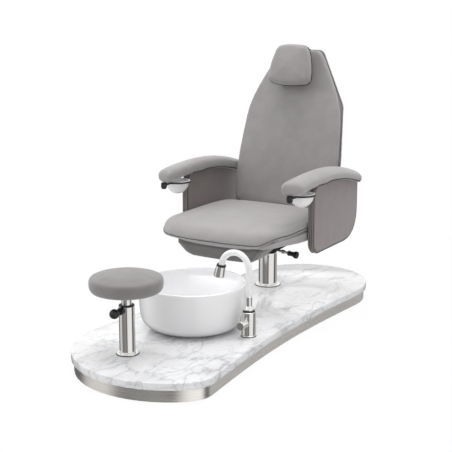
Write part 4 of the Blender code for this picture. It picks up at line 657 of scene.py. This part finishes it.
def rigid_pieces():
    """Every rigid node in its finish, rebuilt fine where it shows."""
    paint("column_base", "steel")
    paint("plinth_core", "board")
    paint("headrest_board", "board")
    NODES["plinth_core"].visible_glossy = False
    edged_piece("marble_top", "marble", 0.0010, 40).visible_glossy = False
    edged_piece("plinth_band", "brushed_steel", 0.0003, 40, 2).visible_glossy = False
    round_piece("basin", "ceramic", 0.03, steps=160)
    for node in ("waste_fitting", "waste_stopper", "footrest_flange", "footrest_sleeve", "footrest_post",
                 "column_flange", "chair_column", "lift_piston", "tap_base", "tap_body", "tap_swivel"):
        round_piece(node, "chrome", 0.0012)
    for node in ("footrest_collar", "column_ring", "tap_seal"):
        round_piece(node, "black_plastic", 0.0008)
    round_piece("footrest_plate", "black_steel", 0.0012)
    spray_axis = middle("spray_rose") - middle("spray_collar")
    round_piece("spray_collar", "black_plastic", 0.0008, spray_axis)
    round_piece("spray_head", "chrome", 0.0008, spray_axis)
    round_piece("spray_rose", "black_plastic", 0.0008, spray_axis)
    round_piece("clamp_knob", "black_plastic", 0.004, (0, -1, 0))
    lever_axis = middle("lever_grip") - middle("lever_rod")
    round_piece("lever_rod", "chrome", 0.0008, lever_axis)
    round_piece("lever_grip", "black_plastic", 0.002, lever_axis)
    tube_piece("tap_spout", "white_plastic", 0.0007)
    for side in ("left", "right"):
        round_piece("tray_pivot_" + side, "black_plastic", 0.0008)
        round_piece("manicure_bowl_" + side, "white_plastic", 0.008)
        round_piece("hinge_pin_" + side, "steel", 0.0008, (1, 0, 0))
        edged_piece("bowl_holder_" + side, "black_plastic", 0.0010)
        edged_piece("seat_lug_" + side, "black_steel")
        edged_piece("back_lug_" + side, "black_steel")
    # Beads of painted contact shadow round the feet on the slab
    for node in ("column_flange", "footrest_flange", "tap_base"):
        seal(node, 0.0)
    seal("basin", SHADOW_BEAD_INSET)
    edged_piece("clamp_boss", "black_plastic")
    edged_piece("set_screw", "black_plastic", 0.0003)
    edged_piece("tap_bonnet", "chrome", 0.0006)
    edged_piece("tap_lever", "chrome", 0.0006)
    edged_piece("lever_nut", "steel", 0.0006)
    edged_piece("seat_spider", "black_steel", 0.0015)
    edged_piece("headrest_guide", "black_steel", 0.0006)
    edged_piece("headrest_strap", "black_steel", 0.0004)


# Upholstery

def coordinates(mesh):
    co = np.empty(len(mesh.vertices) * 3)
    mesh.vertices.foreach_get("co", co)
    return co.reshape(-1, 3)


def normals(mesh):
    flat = np.empty(len(mesh.vertices) * 3, np.float32)
    mesh.vertex_normals.foreach_get("vector", flat)
    return flat.reshape(-1, 3).astype(float)


def move_to(mesh, points):
    mesh.vertices.foreach_set("co", points.astype(np.float32).ravel())
    mesh.update()


def edge_ends(mesh):
    ends = np.empty(len(mesh.edges) * 2, np.int32)
    mesh.edges.foreach_get("vertices", ends)
    return ends[0::2], ends[1::2]


class Neighbours:
    """Means over the points joined to each point of a mesh."""

    def __init__(self, mesh):
        self.count = len(mesh.vertices)
        self.a, self.b = edge_ends(mesh)
        self.links = np.bincount(self.a, minlength=self.count) + np.bincount(self.b, minlength=self.count)

    def mean(self, values):
        a, b = self.a, self.b
        return (np.bincount(a, values[b], self.count) + np.bincount(b, values[a], self.count)) / self.links


def even_out(mesh, rounds):
    """Smooth a mesh without shrinking it: each pass inwards is followed by a slightly larger one outwards."""
    points = coordinates(mesh)
    near = Neighbours(mesh)
    for share in (0.5, -0.53) * rounds:
        points += share * (np.stack([near.mean(points[:, k]) for k in range(3)], axis=1) - points)
    move_to(mesh, points)


def smooth_copy(node, levels, rounds=30):
    """A soft solid's facets, split fine and evened out."""
    solid = welded(node)
    bmesh.ops.join_triangles(solid, faces=solid.faces, angle_face_threshold=math.radians(70),
                             angle_shape_threshold=math.pi)
    obj = linked(node + "_padded", to_mesh(solid, node + "_padded"))
    finer(obj, levels, "SIMPLE")
    even_out(obj.data, rounds)
    return obj


def swell(obj, pressure, cap, held):
    """Blow the cover up with a short cloth simulation; held points stay, and no point swells beyond cap."""
    start, facing = coordinates(obj.data), normals(obj.data)
    group = obj.vertex_groups.new(name="held")
    group.add([int(i) for i in np.flatnonzero(held)], 1.0, "REPLACE")
    cloth = obj.modifiers.new("cloth", "CLOTH")
    cloth.settings.quality = 4
    cloth.settings.mass = 0.3
    cloth.settings.tension_stiffness = 12.0
    cloth.settings.compression_stiffness = 12.0
    cloth.settings.bending_stiffness = 0.6
    cloth.settings.use_pressure = True
    cloth.settings.uniform_pressure_force = pressure
    cloth.settings.vertex_group_mass = group.name
    cloth.settings.effector_weights.gravity = 0.0
    cloth.collision_settings.use_collision = False
    cloth.point_cache.frame_start = 1
    cloth.point_cache.frame_end = SIM_FRAMES
    for step in range(1, SIM_FRAMES + 1):
        bpy.context.scene.frame_set(step)
    evaluated(obj)
    bpy.context.scene.frame_set(1)
    obj.vertex_groups.clear()
    moved = coordinates(obj.data) - start
    rise = np.where(held, 0.0, np.clip((moved * facing).sum(axis=1), 0.0, cap))
    near = Neighbours(obj.data)
    for _ in range(SIM_EVENING):
        rise = (rise + near.mean(rise)) / 2
    move_to(obj.data, start + facing * rise[:, None])


def finer(obj, levels=1, kind="CATMULL_CLARK"):
    divide = obj.modifiers.new("divide", "SUBSURF")
    divide.subdivision_type = kind
    divide.levels = divide.render_levels = levels
    return evaluated(obj)


def upholster(obj, node, finish):
    """Cover a soft piece and let it stand for its node."""
    obj.data.materials.clear()
    obj.data.materials.append(FINISH[finish])
    obj.data.shade_smooth()
    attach(obj, body_of(node))
    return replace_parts(obj, node)


def ringed(name, rings, turn=None):
    """Closed form over rings of points, its ends closed at their middles."""
    solid = bmesh.new()
    rows = [[solid.verts.new(p) for p in ring] for ring in rings]
    count = len(rings[0])
    for row, above in zip(rows, rows[1:]):
        for k in range(count):
            solid.faces.new((row[k], row[(k + 1) % count], above[(k + 1) % count], above[k]))
    for row in (rows[0], rows[-1]):
        tip = solid.verts.new(sum((v.co for v in row), Vector()) / count)
        for k in range(count):
            solid.faces.new((row[k], row[(k + 1) % count], tip))
    bmesh.ops.recalc_face_normals(solid, faces=solid.faces)
    if turn is not None:
        solid.transform(turn)
    obj = linked(name, to_mesh(solid, name))
    return obj


def even_mesh(obj, voxel):
    """A drawn form meshed again in small even faces."""
    even = obj.modifiers.new("even", "REMESH")
    even.mode = "VOXEL"
    even.voxel_size = voxel
    evaluated(obj)
    even_out(obj.data, 8)
    return obj


def stuffed(obj, node, rest, voxel=VOXEL, split=True, finish="leatherette"):
    """Stuffed piece: its drawn form meshed evenly, drawn in and swollen by cloth, flat on its rest side."""
    even_mesh(obj, voxel)
    facing = normals(obj.data)
    held = facing @ np.array(rest) > HELD_FACING
    points = coordinates(obj.data)
    move_to(obj.data, points - facing * np.where(held, SIM_HELD_ROOM, SIM_ROOM)[:, None])
    swell(obj, SIM_PRESSURE, SWELLING, held)
    even_out(obj.data, 6)
    if split:
        finer(obj)
    return upholster(obj, node, finish)


def outline_of(node, axis, spacing):
    """Outer loop of a board at its middle, in the plane across axis, as evenly laid 2D points."""
    turn = axis.to_track_quat("Z", "Y").to_matrix().to_4x4()
    solid = welded(node)
    solid.transform(turn.inverted())
    heights = [v.co.z for v in solid.verts]
    low, high = min(heights), max(heights)
    runs = cut_runs(solid, (0, 0, (low + high) / 2), (0, 0, 1))
    solid.free()
    loop = max(runs, key=lambda r: sum((p - q).length for p, q in zip(r, r[1:])))
    if loop[0] == loop[-1]:
        loop = loop[:-1]
    points = even_line(np.array([tuple(p) for p in loop]), True, spacing, 0)[:, :2]
    area = np.sum(points[:, 0] * np.roll(points[:, 1], -1) - points[:, 1] * np.roll(points[:, 0], -1))
    return turn, (points if area > 0 else points[::-1]), low, high


def drawn_in(points, distance):
    ahead = np.roll(points, -1, 0) - np.roll(points, 1, 0)
    ahead /= np.linalg.norm(ahead, axis=1, keepdims=True)
    inward = np.stack((-ahead[:, 1], ahead[:, 0]), axis=1)
    return points + inward * distance


def board_rings(points, low, high, radius, crown_low, crown_high):
    """Rings over a padded board: across the low face, round its edge and across the high face."""
    middle_point = points.mean(axis=0)
    inner = drawn_in(points, radius)

    def face(height, crown):
        shares = [k / BOARD_RINGS for k in range(1, BOARD_RINGS + 1)]
        return [raised(middle_point + (inner - middle_point) * t, height + crown * (1 - t * t) ** 2)
                for t in shares]

    def edge(height, sign):
        turns = [math.pi / 2 * k / BOARD_EDGE_STEPS for k in range(1, BOARD_EDGE_STEPS + 1)]
        return [raised(drawn_in(points, radius * (1 - math.sin(t))),
                       height + sign * radius * (1 - math.cos(t))) for t in turns]

    base_low, base_high = low - crown_low, high - crown_high
    rising = face(base_low, crown_low) + edge(base_low, 1.0)
    falling = face(base_high, crown_high) + edge(base_high, -1.0)
    straight = base_high - base_low - 2 * radius
    strip = [raised(points, base_low + radius + t * straight) for t in (0.25, 0.5, 0.75)]
    return rising + strip + falling[::-1]


def padded_board(node, axis, radius, crown_low, crown_high, inset=0.0):
    """Padded board with a rolled edge and crowned faces, drawn on its node's outline."""
    turn, points, low, high = outline_of(node, axis, BOARD_SPACING)
    rings = board_rings(drawn_in(points, inset), low, high, radius, crown_low, crown_high)
    return ringed(node + "_padded", rings, turn)


def seam_line(mesh, centre, axis, lean, count=240):
    """Points round a piece, one in each direction about an axis: the furthest out, with a lean along it."""
    turn = np.array(Vector(axis).to_track_quat("Z", "Y").to_matrix())
    centre = np.array(centre)
    local = (coordinates(mesh) - centre) @ turn
    a, b = (local[ends] for ends in edge_ends(mesh))
    points = []
    for angle in np.arange(count) * 2 * math.pi / count:
        out = np.array((math.cos(angle), math.sin(angle)))
        side = np.array((-out[1], out[0]))
        here, there = a[:, :2] @ side, b[:, :2] @ side
        across = (here < 0) != (there < 0)
        t = here[across] / (here[across] - there[across])
        found = a[across] + (b[across] - a[across]) * t[:, None]
        reach = found[:, :2] @ out
        score = np.where(reach > 0, reach + lean * found[:, 2], -1e9)
        points.append(found[score.argmax()])
    return np.array(points) @ turn.T + centre


def even_line(points, closed, spacing, smoothing=2):
    """A line smoothed and laid out again at an even spacing."""
    points = np.array(points)
    for _ in range(smoothing):
        if closed:
            points = (np.roll(points, 1, 0) + 2 * points + np.roll(points, -1, 0)) / 4
        else:
            points[1:-1] = (points[:-2] + 2 * points[1:-1] + points[2:]) / 4
    if closed:
        points = np.vstack((points, points[:1]))
    along = np.concatenate(((0.0,), np.cumsum(np.linalg.norm(np.diff(points, axis=0), axis=1))))
    count = max(4, int(along[-1] / spacing))
    marks = np.linspace(0.0, along[-1], count + 1)
    laid = np.stack([np.interp(marks, along, points[:, k]) for k in range(3)], axis=1)
    return laid[:-1] if closed else laid


def piping(name, points, closed, radius, body, finish="leatherette"):
    """Round line along points: piping, a welt, a stitch line or a black bead of painted contact shadow."""
    curve = bpy.data.curves.new(name, "CURVE")
    curve.dimensions = "3D"
    curve.bevel_depth = radius
    curve.bevel_resolution = 3
    curve.use_fill_caps = not closed
    spline = curve.splines.new("POLY")
    spline.points.add(len(points) - 1)
    spline.points.foreach_set("co", np.hstack((points, np.ones((len(points), 1)))).ravel())
    spline.use_cyclic_u = closed
    guide = linked(name + "_guide", curve)
    depsgraph = bpy.context.evaluated_depsgraph_get()
    mesh = bpy.data.meshes.new_from_object(guide.evaluated_get(depsgraph))
    bpy.data.objects.remove(guide)
    mesh.shade_smooth()
    return add_piece(name, mesh, body, finish)


def smooth_step(t):
    t = np.clip(t, 0.0, 1.0)
    return t * t * (3 - 2 * t)


def raised(points, height):
    return np.column_stack((points, np.broadcast_to(height, len(points))))


def in_place(points, height, turn):
    """Points of a board's plane, at a height along its axis, in the model's frame."""
    return raised(points, height) @ np.array(turn)[:3, :3].T


def seat_front(points):
    """1 along the middle of the front edge, falling to 0 round the corners and behind."""
    across = np.abs(points[:, 0]) - np.where(points[:, 0] < 0, SEAM_LOW_RIGHT, SEAM_LOW_LEFT)
    ahead = smooth_step((CORNER_Y - points[:, 1]) / SEAM_FALL_RUN)
    return ahead * (1 - smooth_step(across / SEAM_CORNER_RUN))


def seat_seam(points):
    """Height of the cushion's piped edge."""
    return SEAM_SIDE - SEAM_FALL * seat_front(points)


def seat_fall(points, half_width):
    """How far the seat falls towards its front, half as far at its sides."""
    u = np.clip(points[:, 0] / half_width, -1, 1)
    ahead = np.maximum(0.0, (points[:, 1] - SEAT_DROOP_FROM) / (SEAT_FRONT - SEAT_DROOP_FROM))
    return SEAT_DROOP * ahead ** 2 * (1 - 0.5 * u * u)


def seat_top(points, half_width):
    """Height of the cushion's top: crowned, and falling a little to the front."""
    u = np.clip(points[:, 0] / half_width, -1, 1)
    v = np.clip((2 * points[:, 1] - SEAT_NOSE - SEAT_REAR) / (SEAT_REAR - SEAT_NOSE), -1, 1)
    crown = SEAT_CROWN * (1 - u ** 6) * (1 - v ** 6)
    return SEAT_EDGE_TOP + crown - SEAT_TOP_DROOP_SHARE * seat_fall(points, half_width)


def drawn_out(edge):
    """The cushion's edge with its front corners let out, for what rounding takes off them."""
    beside = smooth_step((np.abs(edge[:, 0]) - CORNER_X) / CORNER_RUN)
    corner = beside * smooth_step((CORNER_Y - edge[:, 1]) / CORNER_RUN)
    corner *= np.where(edge[:, 0] < 0, CORNER_RIGHT_SHARE, 1.0)
    aside = CORNER_ASIDE * corner * np.sign(edge[:, 0])
    return edge + np.column_stack((aside, -CORNER_AHEAD * corner, 0 * corner))


def seat_rings(outline):
    """Rings from the middle of the cushion's underside out to its seam, over its roll and across its top."""
    middle_point = np.array((0.0, (SEAT_FRONT + SEAT_REAR) / 2))
    outward = outline - middle_point
    reach = np.linalg.norm(outward, axis=1, keepdims=True)
    outward /= reach
    half_width = np.abs(outline[:, 0]).max()
    seam = seat_seam(outline)
    roll = (SEAT_ROLL + SEAT_FRONT_ROLL * seat_front(outline))[:, None]
    rings = []
    for share in (0.15, 0.4, 0.65, 0.85, 0.97, 1.0):
        ring = middle_point + outward * reach * share
        rings.append(raised(ring, seat_seam(ring)))
    height = seat_top(outline - outward * roll, half_width) - seam
    for turn in np.radians((10, 20, 30, 40, 50, 60, 70, 80, 90)):
        ring = outline - outward * roll * (1 - math.cos(turn))
        rings.append(raised(ring, seam + height * math.sin(turn)))
    for share in (0.93, 0.85, 0.75, 0.65, 0.55, 0.45, 0.35, 0.25, 0.15, 0.06):
        ring = middle_point + outward * (reach - roll) * share
        rings.append(raised(ring, seat_top(ring, half_width)))
    return rings


def seat_outline():
    """The cushion's edge seen from above."""
    edge = seam_line(NODES["seat_cushion"].data, middle("seat_cushion"), UP, SEAM_LEAN)
    edge = drawn_out(even_line(edge, True, LINE_SPACING))
    return even_line(edge, True, LINE_SPACING, SEAT_EDGE_SMOOTHING)[:, :2]


def seat_cushion(outline):
    form = ringed("seat_cushion_padded", seat_rings(drawn_in(outline, -SEAT_LET_OUT)))
    stuffed(form, "seat_cushion", DOWN, VOXEL_LARGE, False)


def seat_base():
    """Seat base raised to just under the cushion's seam, except behind, where the back is."""
    base = smooth_copy("seat_base", 3, 12)
    points = coordinates(base.data)
    plan = points[:, :2]
    drawn = BASE_TOP - seat_fall(plan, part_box("seat_cushion")[1].x)
    behind = smooth_step((plan[:, 1] - BASE_RAISED_TO) / BASE_RAISED_RUN)
    reached = drawn + (seat_seam(plan) - BASE_GAP - drawn) * (1 - behind)
    lift = points[:, 2] - BASE_BOTTOM
    points[:, 2] = BASE_BOTTOM + lift * (reached - BASE_BOTTOM) / (drawn - BASE_BOTTOM)
    move_to(base.data, points)
    upholster(base, "seat_base", "leatherette")


def front_apron():
    """Apron flared, drawn forward and raised towards its top, in a darker copy of the leatherette that paints
    the shade under the seat.
    """
    apron = smooth_copy("front_apron", 3, 12)
    low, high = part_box("front_apron")
    points = coordinates(apron.data)
    share = (points[:, 2] - low.z) / (high.z - low.z)
    ahead = -APRON_AHEAD * share * (points[:, 1] < APRON_FRONT)
    points += np.column_stack((APRON_FLARE * share * points[:, 0], ahead, APRON_RISE * share))
    move_to(apron.data, points)
    upholster(apron, "front_apron", "leatherette_painted_shade")


def seat_lines(outline):
    """Piping and stitches along the cushion's edge, ahead of the side panels; the dark stitch line also
    paints the shade in the groove above the piping.
    """
    panel_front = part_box("side_panel_left")[0].y
    outline = np.roll(outline, -int(np.argmax(outline[:, 1])), axis=0)
    shown = outline[outline[:, 1] < panel_front + PIPING_PAST_PANEL]
    seam = seat_seam(shown)
    piping("seat_piping", raised(shown, seam), False, PIPING_RADIUS, "seat")
    stitches = raised(drawn_in(shown, -STITCH_OUT), seam + PIPING_RADIUS + STITCH_RISE)
    piping("seat_seam", stitches, False, SEAM_RADIUS, "seat", "thread_and_seam_shade")


def board_seam(name, node, axis, inset, share, radius):
    """Stitches round a board, at a share of its thickness."""
    turn, points, low, high = outline_of(node, axis, BOARD_SPACING)
    line = in_place(drawn_in(points, inset), low + share * (high - low), turn)
    piping(name, line, True, radius, body_of(node), "thread_and_seam_shade")


def back_shell(rear):
    shell = even_mesh(padded_board("back_shell", rear, SHELL_ROUND, 0.0, SHELL_CROWN), VOXEL)
    upholster(shell, "back_shell", "leatherette")


def back_cushion(rear):
    form = padded_board("back_cushion", rear, BACK_ROUND, BACK_CROWN, 0.0, BACK_INSET)
    stuffed(form, "back_cushion", rear, VOXEL_LARGE, False)
    board_seam("back_seam", "back_shell", rear, SHELL_SEAM_INSET, 0.0, SEAM_RADIUS)


def headrest_pillow(rear):
    form = padded_board("headrest_pillow", rear, PILLOW_ROUND, PILLOW_CROWN, PILLOW_REAR_CROWN)
    stuffed(form, "headrest_pillow", rear)
    # The seam line round the pillow doubles as painted shadow between pillow and back
    board_seam("pillow_seam", "headrest_pillow", rear, PILLOW_SEAM_INSET, PILLOW_SEAM_SHARE,
               PILLOW_SEAM_RADIUS)


def pad_heights(y):
    """Underside and top of the arm pad."""
    rear = PAD_DROOP_REAR * np.maximum(0.0, (y - PAD_CREST_Y) / (PAD_REAR - PAD_CREST_Y)) ** 2
    front = PAD_DROOP_FRONT * np.maximum(0.0, (PAD_CREST_Y - y) / (PAD_CREST_Y - PAD_FRONT)) ** 2
    top = PAD_CREST - rear - front
    ahead = smooth_step((PAD_DEEPER_FROM - y) / PAD_DEEPER_RUN)
    return top - (PAD_REAR_DEPTH + (PAD_FRONT_DEPTH - PAD_REAR_DEPTH) * ahead), top


def pad_hang(y, panel_front):
    """How far the pad's flanks hang below its underside."""
    return PAD_HANG * smooth_step((y - panel_front) / PAD_HANG_RUN)


def squared_off(values):
    return np.sign(values) * np.abs(values) ** PAD_SQUARENESS


def pad_stations():
    """Places of the pad's sections, closer together at its ends."""
    ends = PAD_END * np.array(PAD_END_SHARES)
    between = np.linspace(PAD_FRONT + PAD_END, PAD_REAR - PAD_END, PAD_STATIONS)[1:-1]
    return np.concatenate((PAD_FRONT + ends, between, PAD_REAR - ends[::-1]))


def pad_rings(side, panel_front):
    """Sections of an arm pad from front to rear, rounded at both ends."""
    angles = np.arange(PAD_POINTS) * 2 * math.pi / PAD_POINTS
    across = squared_off(np.cos(angles))
    above = squared_off(np.sin(angles))
    rings = []
    for y in pad_stations():
        under, top = pad_heights(y)
        inset = min(1.0, (y - PAD_FRONT) / PAD_END, (PAD_REAR - y) / PAD_END)
        size = (1 - (1 - inset) ** PAD_END_POWER) ** (1 / PAD_END_POWER)
        low = under - pad_hang(y, panel_front)
        outward = (1 + side * across * size) / 2
        x = side * PAD_X + PAD_HALF_WIDTH * across * size
        z = (low + top) / 2 + (top - low) / 2 * above * size
        z += (PAD_CROWN * (1 - across ** 2) - PAD_OUTER_FALL * outward ** 2) * np.maximum(0.0, above) * size
        over_panel = (np.abs(x - side * PANEL_X) < PANEL_CLEAR) & (above < 0)
        z = np.where(over_panel, np.maximum(z, under), z)
        skew = PAD_NOSE_SKEW * outward * max(0.0, 1 - (y - PAD_FRONT) / PAD_SKEW_RUN) ** 2
        rings.append(np.column_stack((x, y + skew, z)))
    return rings


def arm_pad(side, pad, panel_front):
    """Stuffed pad with a dark line low on each flank: a stitch line that also paints the shadow where the pad
    hangs over the side panel.
    """
    stuffed(ringed(pad + "_padded", pad_rings(side, panel_front)), pad, DOWN, VOXEL_PAD)
    y = np.linspace(panel_front, PAD_REAR - PAD_END, 60)
    under, top = pad_heights(y)
    low = under - pad_hang(y, panel_front)
    height = (low + top) / 2 - (top - low) * PAD_SEAM_DROP
    for name, way in (("inner", -side), ("outer", side)):
        x = np.full(len(y), side * PAD_X + way * PAD_SEAM_REACH)
        line = np.column_stack((x, y, height))
        piping("_".join((pad, "seam", name)), line, False, PAD_SEAM_RADIUS, body_of(pad), "thread_and_seam_shade")


def let_out(points):
    """Panel points with the rear edge let out towards the back."""
    share = smooth_step((points[:, 1] - LET_OUT_FROM) / LET_OUT_RUN)
    return points + np.outer(PANEL_LET_OUT * share, (0, 1, 0))


def side_panel(panel):
    """Padded panel with a welt round each face and a dark line either side of it: stitching, and painted
    shade in the creases beside the welt.
    """
    sideways = Vector((1, 0, 0))
    board = even_mesh(padded_board(panel, sideways, PANEL_ROUND, -PANEL_CROWN, PANEL_CROWN), VOXEL)
    move_to(board.data, let_out(coordinates(board.data)))
    # Panels in the warm tint that is darkened as painted shade
    upholster(board, panel, "leatherette_warm_shaded")
    turn, points, low, high = outline_of(panel, sideways, BOARD_SPACING)
    for name, face, into in (("inner", low, 1), ("outer", high, -1)):
        for kind, depth, inset, radius, finish in PANEL_LINES:
            line = let_out(in_place(drawn_in(points, inset), face + into * depth, turn))
            piping("_".join((panel, kind, name)), line, True, radius, body_of(panel), finish)


def soft_pieces():
    """Every soft node upholstered, with its piping and stitches."""
    outline = seat_outline()
    seat_cushion(outline)
    seat_base()
    front_apron()
    seat_lines(outline)
    rear = Vector(BACK_NORMAL)
    back_shell(rear)
    back_cushion(rear)
    headrest_pillow(rear)
    for side, label in ((1, "left"), (-1, "right")):
        panel = "side_panel_" + label
        arm_pad(side, "arm_pad_" + label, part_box(panel)[0].y)
        side_panel(panel)
    # The footrest pad takes the darker copy of the leatherette: painted shade
    stuffed(smooth_copy("footrest_pad", 2), "footrest_pad", DOWN, finish="leatherette_shaded")


# Stage

def floor():
    """Pale floor that the lens sees as white further out, with the chair's shadow kept near it."""
    mesh = bpy.data.meshes.new("floor")
    disc = bmesh.new()
    bmesh.ops.create_circle(disc, cap_ends=True, segments=64, radius=FLOOR_RADIUS)
    disc.to_mesh(mesh)
    disc.free()
    obj = linked("floor", mesh)
    obj.visible_glossy = False
    s = Shader("floor")
    s.finish(base_color=(FLOOR_TONE,) * 3 + (1.0,), roughness=0.9)
    glow = s.node("ShaderNodeEmission", {"Color": (1, 1, 1, 1), "Strength": 1.0}).outputs[0]
    away = s.node("ShaderNodeVectorMath", {0: s.place, 1: GLOW_CENTRE}, operation="DISTANCE").outputs["Value"]
    share = s.span(away, GLOW_FROM, GLOW_TO, FLOOR_GLOW, 1.0)
    path = s.node("ShaderNodeLightPath").outputs
    seen = s.math("MULTIPLY", s.math("MAXIMUM", path["Is Camera Ray"], path["Is Transmission Ray"]), share)
    both = s.node("ShaderNodeMixShader", {0: seen, 1: s.surface.outputs[0], 2: glow}).outputs[0]
    s.set(s.tree.nodes["Material Output"].inputs["Surface"], both)
    mesh.materials.append(s.material)


def studio(s):
    """Brightness round the studio by direction: banded below the horizon, plain white above it."""
    ray = s.node("ShaderNodeTexCoord").outputs["Generated"]
    x, y, z = s.node("ShaderNodeSeparateXYZ", {0: ray}).outputs
    camera_side = math.atan2(-math.cos(CAMERA_AZIMUTH), math.sin(CAMERA_AZIMUTH))
    cos, sin = math.cos(camera_side), math.sin(camera_side)
    ahead = s.math("ADD", s.math("MULTIPLY", x, cos), s.math("MULTIPLY", y, sin))
    across = s.math("SUBTRACT", s.math("MULTIPLY", y, cos), s.math("MULTIPLY", x, sin))
    turn = s.span(s.math("ARCTAN2", across, ahead), -math.pi, math.pi)
    ramp = s.node("ShaderNodeValToRGB", {0: turn})
    stops = ramp.color_ramp.elements
    while len(stops) < len(STUDIO):
        stops.new(0.5)
    for stop, (angle, level) in zip(stops, STUDIO):
        stop.position = (angle + 180) / 360
        stop.color = (level, level * 0.985, level * 0.97, 1.0)
    return s.blend(s.span(z, -0.04, 0.10), ramp.outputs[0], (1, 1, 1, 1))


def world():
    """Even light for the chair, white for the lens, and a banded studio for polished pieces to reflect."""
    made = bpy.data.worlds.new("studio")
    bpy.context.scene.world = made
    made.use_nodes = True
    s = Shader.__new__(Shader)
    s.tree = made.node_tree
    plain = made.node_tree.nodes["Background"]
    plain.inputs["Color"].default_value = (1, 1, 1, 1)
    plain.inputs["Strength"].default_value = WORLD_LEVEL
    path = s.node("ShaderNodeLightPath").outputs
    banded = s.node("ShaderNodeBackground", {"Color": studio(s), "Strength": 1.0}).outputs[0]
    white = s.node("ShaderNodeBackground", {"Color": (1, 1, 1, 1), "Strength": 1.0}).outputs[0]
    lit = s.node("ShaderNodeMixShader", {0: path["Is Glossy Ray"], 1: plain.outputs[0], 2: banded}).outputs[0]
    seen = s.math("MAXIMUM", path["Is Camera Ray"], path["Is Transmission Ray"])
    both = s.node("ShaderNodeMixShader", {0: seen, 1: lit, 2: white}).outputs[0]
    s.set(s.tree.nodes["World Output"].inputs["Surface"], both)


def softbox(name, place, aim, size, power, spread):
    lamp = bpy.data.lights.new(name, "AREA")
    lamp.shape = "ELLIPSE"
    lamp.spread = math.radians(spread)
    lamp.size, lamp.size_y = size
    lamp.energy = power
    obj = linked(name, lamp)
    obj.location = place
    obj.rotation_mode = "QUATERNION"
    obj.rotation_quaternion = (Vector(aim) - Vector(place)).to_track_quat("-Z", "Y")
    obj.visible_camera = False


def camera():
    obj = linked("photo_camera", bpy.data.cameras.new("photo_camera"))
    bpy.context.scene.camera = obj
    obj.data.lens = CAMERA_LENS
    a, e = CAMERA_AZIMUTH, CAMERA_ELEVATION
    back = Vector((math.sin(a) * math.cos(e), -math.cos(a) * math.cos(e), math.sin(e)))
    right = Vector((math.cos(a), math.sin(a), 0.0))
    turn = Matrix((right, back.cross(right), back)).transposed().to_4x4()
    obj.matrix_world = Matrix.Translation(CAMERA_PLACE) @ turn


camera()
rigid_pieces()
soft_pieces()
floor()
world()
for lamp in LAMPS:
    softbox(*lamp)
bpy.context.scene.view_settings.view_transform = "Standard"
